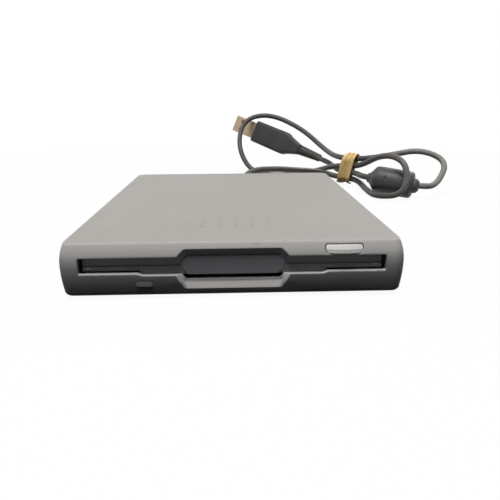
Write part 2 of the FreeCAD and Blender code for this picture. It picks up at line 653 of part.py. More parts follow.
def eject_plate():
    """Slide above the holder: its inclined slots lift the holder's lugs as it is pushed home."""
    x1, x0 = slide_out_x, slide_in_x
    top = box(-x1, x1, slide_y0, slide_y1, slide_z, slide_z + sheet_t)
    flange = box(x0, x1, slide_y0, slide_y1, lug_z - load_drop - 2.0, slide_z + sheet_t)
    riser = box(button_x - tongue_w / 2, button_x + tongue_w / 2, slide_y0, slide_y0 + sheet_t,
                slide_z, tongue_z + sheet_t)
    plate_shape = fused([top, riser, tongue_form(0)] + mirrored_pair(flange))
    cuts = [box(window_x0 - 2, window_x1 + 1, disk_rear_y - 28.5, slide_y1 + 1, slide_z - 1, case_h),
            rounded_box(-26, 26, slide_y0 + 13.2, disk_rear_y - 36.5, slide_z - 1, case_h, 3)]
    for y in lug_ys:
        for side in (-1, 1):
            cuts.append(slotted(y, lug_z, y + eject_travel, lug_z - load_drop, lug_r + 0.12,
                                side * x1 - 1, side * x1 + 1))
    return plate_shape.cut(group(cuts))


spring_xs = (14.85 - holder_out_x, holder_out_x - 14.85)
spring_z = slide_z - 1.7
spring_r, spring_wire = 1.1, 0.2
spring_y0, spring_y1 = holder_y1 + 6.2, holder_y1 + 20.2


def eject_springs():
    """Two compression springs that push the slide forward, between its straps and posts on the lid."""
    return group([helix_solid(spring_r, spring_wire, 1.0, spring_y1 - spring_y0,
                              V(x, spring_y0, spring_z), Y_AXIS) for x in spring_xs])


def slide_straps():
    """Straps that reach back from the slide to the springs' front ends."""
    straps = []
    for x in spring_xs:
        end_y = spring_y0 - spring_wire - 0.02
        z0, z1 = slide_z + sheet_t, slide_z + 2 * sheet_t - 0.1
        strap = box(x - 1.5, x + 1.5, slide_y1 - 3, end_y, z0, z1)
        drop = box(x - 1.5, x + 1.5, end_y - sheet_t, end_y, spring_z - 1.6, z1)
        straps.append(fused([strap, drop]))
    return group(straps)


def spring_posts():
    posts = []
    for x in spring_xs:
        y = spring_y1 + spring_wire + 0.02
        post = box(x - 1.6, x + 1.6, y, y + 0.8, spring_z - 1.6, lid_z)
        foot = box(x - 1.6, x + 1.6, y, y + 4.0, lid_z - 0.6, lid_z)
        posts.append(fused([post, foot]))
    return group(posts)


# ---------------------------------------------------------------- mechanism: spindle motor

bearing_r = 3.2
stator_z = tray_top
stator_t = 0.5
magnet_t = 1.2


def at_hub(z):
    return V(0, hub_y, z)


def stator_board():
    half = rotor_r + 3.0
    board = rounded_box(-half, half, hub_y - half, hub_y + half - 1, stator_z, stator_z + stator_t, 5)
    return board.cut(rod(bearing_r, at_hub(0), Z_AXIS, 10))


def stator_coils():
    coils = []
    ring_r = rotor_r - 7.0
    for i in range(9):
        angle = 2 * math.pi * i / 9
        centre = at_hub(stator_z + stator_t) + V(math.cos(angle), math.sin(angle), 0) * ring_r
        coils.append(tube(3.4, 1.2, centre, Z_AXIS, 0.7))
    return group(coils)


def spindle_bearing():
    bush = rod(bearing_r, at_hub(tray_z0), Z_AXIS, motor_z - 0.2 - tray_z0)
    flange = rod(5.2, at_hub(stator_z + stator_t), Z_AXIS, 0.4)
    return fused([bush, flange]).cut(rod(shaft_r + pin_gap, at_hub(tray_z0 + 0.4), Z_AXIS, 5))


def spindle_shaft():
    return rod(shaft_r, at_hub(tray_z0 + 0.5), Z_AXIS, motor_z + 2.6 - tray_z0 - 0.5)


def spindle_rotor():
    disc = rod(rotor_r, at_hub(motor_z), Z_AXIS, rotor_t)
    rim = tube(rotor_r, rotor_r - 1.0, at_hub(motor_z - magnet_t + 0.2), Z_AXIS, magnet_t)
    return fused([disc, rim]).cut(rod(shaft_r, at_hub(0), Z_AXIS, 10))


def magnet_ring():
    return tube(rotor_r - 1.0, rotor_r - 2.4, at_hub(motor_z - magnet_t + 0.2), Z_AXIS, magnet_t - 0.2)


def spindle_hub():
    z = motor_z + rotor_t
    chuck = turned([(0, hub_r), (0.6, hub_r), (0.9, hub_r - 0.4)], at_hub(z), Z_AXIS)
    return chuck.cut(group([rod(shaft_r, at_hub(0), Z_AXIS, 10), drive_pin_form(1.35)]))


def drive_pin_form(radius):
    return rod(radius, at_hub(motor_z + rotor_t) + V(9.6, 0, 0), Z_AXIS, 1.7)


# ---------------------------------------------------------------- mechanism: heads

carriage_y0, carriage_y1 = head_y + arm_l, head_y + arm_l + carriage_l
clamp_front_y, clamp_rear_y = holder_y1 + 0.4, carriage_y1 + 2.6
clamp_l = 1.8
ear_x0, ear_x1 = 6.5, 8.0
follower_y = (carriage_y0 + carriage_y1) / 2


def guide_rod():
    return rod(rod_r, V(rod_x, clamp_front_y, rod_z), Y_AXIS, clamp_rear_y + clamp_l - clamp_front_y)


def rod_clamps():
    clamps = []
    for y in (clamp_front_y, clamp_rear_y):
        clamp = box(rod_x - 2.6, rod_x + 2.6, y, y + clamp_l, tray_top, rod_z + 1.9)
        clamps.append(clamp.cut(rod(rod_r, V(rod_x, y - 1, rod_z), Y_AXIS, clamp_l + 2)))
    return group(clamps)


def head_carriage():
    """Block on the guide rod, with the lower arm, two ears for the upper arm and the screw's lug."""
    z0, z1 = rod_z - 2.6, rod_z + 1.6
    block = box(rod_x - 3.0, screw_x - 5.0, carriage_y0, carriage_y1, z0, z1)
    beam = box(-5.0, 5.0, head_y - 2.5, carriage_y0 + 1, z0 - 0.1, lower_arm_z)
    ear = box(ear_x0, ear_x1, arm_hinge_y - 2.5, arm_hinge_y + 2.5, z1 - 0.6, arm_hinge_z + 0.8)
    lug = box(screw_x - 8.0, screw_x - screw_r - 0.9, follower_y - 1.5, follower_y + 1.5,
              z1 - 0.6, screw_z + 1.1)
    pin = rod(0.25, V(screw_x - screw_r - 1.2, follower_y, screw_z), X_AXIS, 1.3)
    flag = box(-7.3, -6.7, carriage_y1 - 1, carriage_y1 + 3.0, rod_z - 1.8, rod_z)
    whole = fused([block, beam, lug, pin, flag] + mirrored_pair(ear))
    pocket = box(-5.5, 5.5, carriage_y0 + 2, carriage_y1 - 2, rod_z - 1.0, z1 + 0.4)
    bores = [rod(rod_r + pin_gap, V(rod_x, carriage_y0 - 1, rod_z), Y_AXIS, carriage_y1 - carriage_y0 + 2),
             rod(arm_pin_r, V(-ear_x1 - 1, arm_hinge_y, arm_hinge_z), X_AXIS, 2 * ear_x1 + 2)]
    return whole.cut(group([pocket] + bores))


arm_pin_r = 0.5
lower_arm_z = rod_z - 1.3


def arm_pin():
    return rod(arm_pin_r, V(-ear_x1, arm_hinge_y, arm_hinge_z), X_AXIS, 2 * ear_x1)


def upper_arm():
    y0 = head_y - 2.5
    y1, y2 = arm_hinge_y - 4, arm_hinge_y + 2
    arm = plate([(-3.2, y0), (3.2, y0), (5.6, y1), (5.6, y2), (-5.6, y2), (-5.6, y1)], 0.8,
                arm_hinge_z + 0.1, arm_hinge_z + 0.9)
    barrel = rod(1.1, V(-5.6, arm_hinge_y, arm_hinge_z), X_AXIS, 11.2)
    bore = rod(arm_pin_r + pin_gap, V(-6, arm_hinge_y, arm_hinge_z), X_AXIS, 12)
    window = rounded_box(-2.2, 2.2, head_y + 6, arm_hinge_y - 6, 0, case_h, 1.0)
    return fused([arm, barrel]).cut(group([bore, window]))


def magnetic_head(z0, z1):
    block = box(-2.2, 2.2, head_y - 1.5, head_y + 1.5, z0, z1)
    upright = [edge for edge in block.Edges if abs(edge.Vertexes[0].Z - edge.Vertexes[1].Z) > 0.5]
    return block.makeFillet(0.4, upright)


def lead_screw():
    """Screw with a spiral groove that the carriage's pin follows, with a journal at each end."""
    front_y, length = bracket_y0 + bracket_t + 0.2, motor_plate_y - bracket_y0 - bracket_t - 0.4
    # the groove starts below the core, half a turn round, so that it meets the pin on the -X side
    pin_s = follower_y - front_y
    groove_s = pin_s - screw_pitch * (math.floor(pin_s / screw_pitch) + 1.5)
    turns = math.ceil((length - groove_s) / screw_pitch) + 1
    groove = helix_solid(screw_r + 0.15, groove_r, screw_pitch, turns, Z_AXIS * groove_s, Z_AXIS)
    core = rod(screw_r, V(0, 0, 0), Z_AXIS, length).cut(groove)
    journal_s = bracket_y0 + 0.1 - front_y
    journal = rod(journal_r, Z_AXIS * journal_s, Z_AXIS, motor_plate_y + 1.9 - bracket_y0)
    screw_solid = core.fuse(journal)
    turn = FreeCAD.Rotation(Z_AXIS, Y_AXIS)
    screw_solid.Placement = FreeCAD.Placement(V(screw_x, front_y, screw_z), turn)
    return screw_solid


groove_r = 0.45
journal_r = 0.8
bracket_y0 = holder_y1 + 1.4
motor_plate_y = carriage_y1 + 1.0
stepper_r = 5.3


def screw_bracket():
    """Frame that holds the screw's front journal and the stepper motor's face."""
    base = box(screw_x - 6, screw_x + 6, bracket_y0, motor_plate_y + bracket_t, tray_top, tray_top + 0.5)
    front = box(screw_x - 3, screw_x + 3, bracket_y0, bracket_y0 + bracket_t, tray_top, screw_z + 2.4)
    rear = box(screw_x - 6, screw_x + 6, motor_plate_y, motor_plate_y + bracket_t, tray_top, screw_z + 4.6)
    bore = rod(journal_r + pin_gap, V(screw_x, bracket_y0 - 1, screw_z), Y_AXIS, 40)
    return fused([base, front, rear]).cut(bore)


def stepper_motor():
    y = motor_plate_y + bracket_t
    profile = [(0, stepper_r), (motor_l - 0.4, stepper_r), (motor_l, stepper_r - 0.4)]
    can = turned(profile, V(screw_x, y, screw_z), Y_AXIS)
    return can.cut(rod(journal_r + pin_gap, V(screw_x, y - 1, screw_z), Y_AXIS, 3))


def track_zero_sensor():
    """Slotted light barrier that the carriage's flag enters at the outermost track."""
    body = box(-9.5, -4.5, carriage_y1 + 0.6, carriage_y1 + 4.6, tray_top, rod_z + 0.6)
    return body.cut(box(-7.8, -6.2, carriage_y1, carriage_y1 + 3.6, rod_z - 2.1, rod_z + 2))


# ---------------------------------------------------------------- electronics

board_z = tray_top + 0.6
board_t = 1.0
board_x0, board_x1 = 0.95 - tray_in_x, rod_x - 5.5
board_y0, board_y1 = hub_y + 26.0, tray_y1 - 2.6
board_bosses = [(board_x0 + 2.5, board_y0 + 3), (board_x1 - 2.5, board_y0 + 24),
                (board_x0 + 2.5, board_y1 - 12)]


def logic_board():
    board = rounded_box(board_x0, board_x1, board_y0, board_y1, board_z, board_z + board_t, 1.0)
    holes = [rod(0.9, V(x, y, 0), Z_AXIS, 10) for x, y in board_bosses]
    holes += [rod(screw_head_r + 0.35, V(x, y, 0), Z_AXIS, 10) for x, y in tray_screw_places if x < 0 < y]
    return board.cut(group(holes))


def chip(x, y, size_x, size_y, legs, height=1.3):
    """Flat package with a row of gull-wing legs on its two long sides."""
    z = board_z + board_t
    body = box(x - size_x / 2, x + size_x / 2, y - size_y / 2, y + size_y / 2, z + 0.1, z + height)
    pitch = (size_y - 1.5) / (legs - 1)
    leads = []
    for side in (-1, 1):
        for i in range(legs):
            ly = y - size_y / 2 + 0.75 + i * pitch
            x0, x1 = sorted((x + side * (size_x / 2 - 0.2), x + side * (size_x / 2 + 0.9)))
            leads.append(box(x0, x1, ly - 0.16, ly + 0.16, z, z + 0.25))
    return fused([body] + leads)


def board_chips():
    x0, x1, y1 = board_x0, board_x1, board_y1
    return group([chip(x0 + 12.0, y1 - 25.0, 9.0, 11.0, 10), chip(x1 - 4.7, y1 - 13.5, 5.0, 7.0, 6),
                  chip(x0 + 7.5, y1 - 10.0, 5.0, 5.2, 4)])


def board_parts():
    """Crystal, capacitors and resistors beside the chips."""
    z, x0, y1 = board_z + board_t, board_x0, board_y1
    crystal = rounded_box(x0 + 1.5, x0 + 4.8, y1 - 25.5, y1 - 17.5, z, z + 2.4, 1.5)
    caps = [rod(1.6, V(x0 + right, y1 - front, z), Z_AXIS, 3.0)
            for right, front in ((15.5, 33.5), (8.5, 2.0))]
    rows = [(board_x1 - 5.0, y1 - 24.0, 3), (x0 + 5.4, y1 - 15.6, 4)]
    chips = [box(x + i * 1.9, x + i * 1.9 + 0.9, y, y + 1.7, z, z + 0.5)
             for x, y, count in rows for i in range(count)]
    return group([crystal] + caps + chips)


def usb_header():
    z, x, y = board_z + board_t, *header_place
    shell = box(x - 3.75, x + 3.75, y - 2.0, y + 2.0, z, z + 3.2)
    return shell.cut(box(x - 2.95, x + 2.95, y - 0.9, y + 0.9, z + 1.0, z + 4))


header_place = (board_x1 - 4.75, board_y1 - 3.5)


def sensor_switches():
    """Two switches that feel the diskette's corner: one for its presence, one for its tab."""
    z = board_z + board_t
    switches = []
    x = 7.5 - disk_w / 2
    for y in (board_y0 + 5.0, board_y0 + 14.0):
        case = box(x - 2.5, x + 2.5, y - 1.8, y + 1.8, z, z + 0.5)
        switches.append(fused([case, rod(0.8, V(x, y, z), Z_AXIS, 1.05)]))
    return group(switches)


def smooth_path(points):
    """Wire of straight runs joined by tangent arcs; each arc takes 0.45 of its shorter run."""
    corners = [V(*p) for p in points]
    edges, radii, start = [], [], corners[0]
    for last, here, after in zip(corners, corners[1:], corners[2:]):
        back, ahead = last - here, after - here
        reach = 0.45 * min(back.Length, ahead.Length)
        back.normalize()
        ahead.normalize()
        half = back.getAngle(ahead) / 2
        radius = reach * math.tan(half)
        middle = here + (back + ahead).normalize() * (radius / math.sin(half) - radius)
        first, second = here + back * reach, here + ahead * reach
        edges.append(Part.LineSegment(start, first).toShape())
        edges.append(Part.Arc(first, middle, second).toShape())
        radii.append(radius)
        start = second
    edges.append(Part.LineSegment(start, corners[-1]).toShape())
    return Part.Wire(edges), radii


def round_tube(points, radius):
    path, radii = smooth_path(points)
    start = V(*points[0])
    ring = Part.Wire([Part.Circle(start, V(*points[1]) - start, radius).toShape()])
    return path.makePipeShell([ring], True, False), path, radii


def inner_wires():
    """Four cores from the lead's inner end down to the header on the board."""
    wires = []
    (x, y, z), (end_x, end_y) = cord_points[0], header_place
    for i in range(4):
        shift = (i - 1.5) * 1.05
        route = [(x + shift * 0.7, y, z), (x + shift * 0.7, y - 2.6, z),
                 (x - 3 + shift * 0.4, y - 4.6 + shift * 0.3, z + 2),
                 (x - 15, y - 5.4 + shift * 0.3, z + 2.4),
                 (end_x + 2.25 + shift, end_y, z + 2), (end_x + shift, end_y, board_z + board_t + 1.2)]
        wires.append(round_tube(route, 0.4)[0])
    return group([Part.makeSolid(Part.Shell(w.Faces)) for w in wires])


# ---------------------------------------------------------------- lead, ferrite, plug, band

def usb_cord():
    solid, path, radii = round_tube(cord_points, cord_r)
    print("cord length", round(path.Length, 1), "arc radii", [round(r, 1) for r in radii])
    ratio = solid.Volume / (math.pi * cord_r ** 2 * path.Length)
    print("cord volume / (section x length)", round(ratio, 4))
    return solid


def cord_gland():
    """Moulded strain relief clamped between the covers, tapering onto the lead."""
    x, z = cord_points[0][0], cord_points[0][2]
    wall_in, wall_out = back_in_y, half_d
    flange, neck = gland_flange_r, gland_neck_r
    profile = [(wall_in - gland_flange_t, flange), (wall_in, flange), (wall_in, neck), (wall_out, neck),
               (wall_out, flange - 0.4), (wall_out + 1.2, flange - 0.5), (wall_out + 1.2, 3.1),
               (wall_out + 8.5, cord_r + 0.5)]
    return turned(profile, V(x, 0, z), Y_AXIS).cut(lead_bore(0, 3))


def lead_bore(first, last):
    """The room the lead takes between two of its route points, with running clearance."""
    return round_tube(cord_points[first:last], cord_r + bore_gap)[0]


def sleeve_run():
    """Start and direction of the lead's run through the ferrite sleeve."""
    start, end = V(*cord_points[-8]), V(*cord_points[-7])
    return start, (end - start).normalize()


def ferrite_sleeve():
    """Moulded cover of the ferrite, with a flared tail at each end."""
    start, along = sleeve_run()
    a, b = sleeve_from, sleeve_to
    tail = cord_r + 1.0
    profile = [(a - 3.2, tail), (a - 2.4, 4.0), (a - 0.3, 4.3), (a - 0.1, sleeve_r - 1.8),
               (a + 0.3, sleeve_r - 0.8), (a + 1.1, sleeve_r), (b - 2.8, sleeve_r),
               (b - 1.6, sleeve_r - 0.7), (b - 0.5, sleeve_r - 2.2), (b + 0.6, 4.2),
               (b + 1.6, tail + 0.3), (b + 3.0, tail - 0.1)]
    body = turned(profile, start, along)
    core_room = rod(sleeve_r - sleeve_wall, start + along * (a + 2.0), along, b - a - 5.5)
    return body.cut(core_room).cut(lead_bore(-9, -5))


def ferrite_core():
    start, along = sleeve_run()
    length = sleeve_to - sleeve_from - 5.6
    outer = sleeve_r - sleeve_wall - bore_gap
    return tube(outer, cord_r + 0.6, start + along * (sleeve_from + 2.05), along, length)


def plug_frame():
    """Origin at the lead's end, with the plug's axis, broad-side normal and width direction."""
    end, before = V(*cord_points[-1]), V(*cord_points[-2])
    along = (end - before).normalize()
    normal = (plug_face - along * plug_face.dot(along)).normalize()
    return end, along, normal, along.cross(normal)


def plug_block(s0, s1, width0, width1, thick0, thick1, radius, shift=0.0):
    """Rounded block between two stations along the plug's axis, tapering if the sizes differ."""
    origin, along, normal, across = plug_frame()
    wires = []
    for s, width, thick in ((s0, width0, thick0), (s1, width1, thick1)):
        centre = origin + along * s + normal * shift
        corners = [centre + across * (a * width / 2) + normal * (b * thick / 2)
                   for a, b in ((1, 1), (-1, 1), (-1, -1), (1, -1))]
        wires.append(rounded_wire(corners, radius))
    return Part.makeLoft(wires, True, True)


plug_grip_w, plug_grip_t = 16.4, 8.4
plug_nose_w = 16.0
shell_w, shell_thick, shell_sheet = 12.0, 4.5, 0.3     # USB type A plug
plug_neck_l, plug_grip_l, plug_nose_l = 11.0, 9.0, 21.0
shell_l = 18.7


def plug_body():
    neck, grip = plug_neck_l, plug_neck_l + plug_grip_l
    nose = grip + plug_nose_l
    parts = [plug_block(0, neck, 7.4, 13.6, 6.8, plug_grip_t, 1.8),
             plug_block(neck, neck + 2.5, 13.6, plug_grip_w, plug_grip_t, plug_grip_t, 1.8),
             plug_block(neck + 2.5, nose, plug_grip_w, plug_nose_w, plug_grip_t, plug_grip_t - 0.4, 1.8)]
    room = plug_block(nose - 6, nose + 1, shell_w, shell_w, shell_thick, shell_thick, 0.5)
    return fused(parts).cut(room)


def plug_relief():
    """Ribbed strain relief on the lead behind the plug."""
    origin, along, _, _ = plug_frame()
    rib_count, pitch = 9, 1.9
    core = turned([(-rib_count * pitch, cord_r + 0.45), (0, cord_r + 1.1)], origin, along)
    rings = []
    for i in range(rib_count):
        s = -pitch * (i + 1)
        outer = 3.55 - 0.12 * i
        rings.append(turned([(s + 0.2, outer), (s + 1.3, outer + 0.08)], origin, along))
    return fused([core] + rings).cut(lead_bore(-4, None))


def plug_stations():
    nose = plug_neck_l + plug_grip_l + plug_nose_l
    return nose - 6.0, nose + shell_l


def plug_shell():
    s0, s1 = plug_stations()
    outer = plug_block(s0, s1, shell_w, shell_w, shell_thick, shell_thick, 0.5)
    w, t = shell_w - 2 * shell_sheet, shell_thick - 2 * shell_sheet
    inner = plug_block(s0 + shell_sheet, s1 + 1, w, w, t, t, 0.3)
    origin, along, normal, across = plug_frame()
    holes = []
    for side in (-1, 1):
        centre = origin + along * (s1 - 6.4) + across * (side * 2.9) - normal * 5
        square = box(-1.25, 1.25, -1.1, 1.1, 0, 10)
        turn = FreeCAD.Matrix(across.x, along.x, normal.x, centre.x, across.y, along.y, normal.y, centre.y,
                              across.z, along.z, normal.z, centre.z, 0, 0, 0, 1)
        holes.append(square.transformGeometry(turn))
    return outer.cut(inner).cut(group(holes))


def plug_tongue():
    s0, s1 = plug_stations()
    w, t = shell_w - 2 * shell_sheet - 0.05, shell_thick - 2 * shell_sheet
    thick = 1.85
    drop = (t - thick) / 2 - 0.02
    return plug_block(s0 + shell_sheet, s1 - 1.0, w - 0.6, w - 0.6, thick, thick, 0.2, -drop)


def plug_contacts():
    """Four gilt contacts on the tongue; the outer two reach further forward."""
    s0, s1 = plug_stations()
    origin, along, normal, across = plug_frame()
    thick = 1.85
    face = -(shell_thick - 2 * shell_sheet - thick) / 2 + 0.02 + thick / 2
    pads = []
    for place, lead_in in ((-3.5, 0.0), (-1.0, 1.0), (1.0, 1.0), (3.5, 0.0)):
        origin_pad = origin + across * place
        wires = []
        for s in (s1 - 10.0, s1 - 1.6 - lead_in):
            centre = origin_pad + along * s + normal * (face + 0.06)
            corners = [centre + across * (a * 0.5) + normal * (b * 0.06)
                       for a, b in ((1, 1), (-1, 1), (-1, -1), (1, -1))]
            wires.append(Part.makePolygon(corners + [corners[0]]))
        pads.append(Part.makeLoft(wires, True, True))
    return group(pads)


def rubber_band():
    """Band that ties the hank: leaning turns side by side round the upright row of strands."""
    along = band_along.normalize()
    across = V(-along.y, along.x, 0)
    reach = 12.0

    def oval(width, height):
        radius = width / 2
        rise = Z_AXIS * (height / 2 - radius)
        side, start = across * radius, band_centre - along * reach
        top, bottom = start + rise, start - rise
        edges = [Part.LineSegment(bottom + side, top + side).toShape(),
                 Part.Arc(top + side, top + Z_AXIS * radius, top - side).toShape(),
                 Part.LineSegment(top - side, bottom - side).toShape(),
                 Part.Arc(bottom - side, bottom - Z_AXIS * radius, bottom + side).toShape()]
        return Part.Face(Part.Wire(edges)).extrude(along * 2 * reach)

    turns = []
    for i in range(band_wraps):
        # the middle turn lies a little deeper, so the joints between turns show as grooves
        thick = band_t - (0.25 if i % 2 else 0.0)
        x0 = (i - band_wraps / 2) * band_w
        slab = box(x0, x0 + band_w, -reach, reach, -2 * reach, 2 * reach)
        slab.rotate(V(0, 0, 0), Y_AXIS, band_lean)
        slab.rotate(V(0, 0, 0), Z_AXIS, math.degrees(math.atan2(along.y, along.x)))
        slab.translate(band_centre)
        turns.append(oval(band_inner_w + 2 * thick, band_inner_h + 2 * thick).common(slab))
    return fused(turns).cut(oval(band_inner_w, band_inner_h))


# ---------------------------------------------------------------- write every node

os.makedirs("parts", exist_ok=True)
block = case_block()
led, led_board = activity_led()
nodes = {
    "top_cover": top_cover(block),
    "bottom_cover": bottom_cover(block),
    "front_bezel": front_bezel(block),
    "rubber_feet": rubber_feet(),
    "case_screws": case_screws(),
    "dust_flap": dust_flap(),
    "flap_spring": flap_spring(),
    "eject_button": eject_button(),
    "activity_lamp_lens": lamp_lens(),
    "activity_led": led,
    "lamp_board": led_board,
    "drive_tray": drive_tray(),
    "drive_lid": drive_lid(),
    "tray_screws": tray_screws(),
    "cartridge_holder": cartridge_holder(),
    "shutter_lever": shutter_lever(),
    "eject_plate": eject_plate(),
    "slide_straps": slide_straps(),
    "eject_springs": eject_springs(),
    "spring_posts": spring_posts(),
    "stator_board": stator_board(),
    "stator_coils": stator_coils(),
    "spindle_bearing": spindle_bearing(),
    "spindle_shaft": spindle_shaft(),
    "spindle_rotor": spindle_rotor(),
    "magnet_ring": magnet_ring(),
    "spindle_hub": spindle_hub(),
    "drive_pin": drive_pin_form(1.1),
    "guide_rod": guide_rod(),
    "rod_clamps": rod_clamps(),
    "head_carriage": head_carriage(),
    "lower_head": magnetic_head(lower_arm_z, lower_arm_z + 2.1),
    "head_arm_pin": arm_pin(),
    "upper_head_arm": upper_arm(),
    "upper_head": magnetic_head(arm_hinge_z - 1.0, arm_hinge_z + 0.1),
    "lead_screw": lead_screw(),
    "screw_bracket": screw_bracket(),
    "stepper_motor": stepper_motor(),
    "track_zero_sensor": track_zero_sensor(),
    "logic_board": logic_board(),
    "board_chips": board_chips(),
    "board_parts": board_parts(),
    "usb_header": usb_header(),
    "sensor_switches": sensor_switches(),
    "inner_wires": inner_wires(),
    "cord_gland": cord_gland(),
    "usb_cord": usb_cord(),
    "ferrite_sleeve": ferrite_sleeve(),
    "ferrite_core": ferrite_core(),
    "rubber_band": rubber_band(),
    "plug_relief": plug_relief(),
    "plug_body": plug_body(),
    "plug_shell": plug_shell(),
    "plug_tongue": plug_tongue(),
    "plug_contacts": plug_contacts(),
}
for node, shape in nodes.items():
    save(node, shape)
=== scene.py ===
import math

import bmesh
import bpy
from mathutils import Matrix, Vector


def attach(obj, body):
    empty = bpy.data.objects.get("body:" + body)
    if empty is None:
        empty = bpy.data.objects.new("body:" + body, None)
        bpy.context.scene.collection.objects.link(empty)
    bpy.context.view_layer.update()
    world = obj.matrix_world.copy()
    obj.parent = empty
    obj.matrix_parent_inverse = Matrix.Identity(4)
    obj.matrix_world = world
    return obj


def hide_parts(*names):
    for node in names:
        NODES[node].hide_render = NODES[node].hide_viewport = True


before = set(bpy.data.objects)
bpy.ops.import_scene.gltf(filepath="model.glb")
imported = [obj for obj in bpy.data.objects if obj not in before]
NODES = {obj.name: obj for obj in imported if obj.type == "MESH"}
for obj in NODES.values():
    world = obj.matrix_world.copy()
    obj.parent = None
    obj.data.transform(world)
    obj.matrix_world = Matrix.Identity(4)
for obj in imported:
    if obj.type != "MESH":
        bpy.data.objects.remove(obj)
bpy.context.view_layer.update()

MM = 0.001

# ---------------------------------------------------------------- camera

FOCAL_PX, IMAGE_PX, SENSOR_MM = 532.56, 500, 36.0
CAMERA_AT = Vector((0.54, -221.54, 59.64)) * MM
PITCH, YAW, ROLL = 0.2864, 0.0299, -0.0065


def add_camera():
    forward = Vector((math.sin(YAW) * math.cos(PITCH), math.cos(YAW) * math.cos(PITCH), -math.sin(PITCH)))
    right = Vector((math.cos(YAW), -math.sin(YAW), 0))
    up = right.cross(forward)
    image_right = right * math.cos(ROLL) + up * math.sin(ROLL)
    image_up = up * math.cos(ROLL) - right * math.sin(ROLL)
    data = bpy.data.cameras.new("camera")
    data.sensor_width = SENSOR_MM
    data.lens = FOCAL_PX / IMAGE_PX * SENSOR_MM
    data.clip_start = 0.01
    camera = bpy.data.objects.new("camera", data)
    bpy.context.collection.objects.link(camera)
    turn = Matrix((image_right, image_up, -forward)).transposed().to_4x4()
    camera.matrix_world = Matrix.Translation(CAMERA_AT) @ turn
    bpy.context.scene.camera = camera


# ---------------------------------------------------------------- node helpers

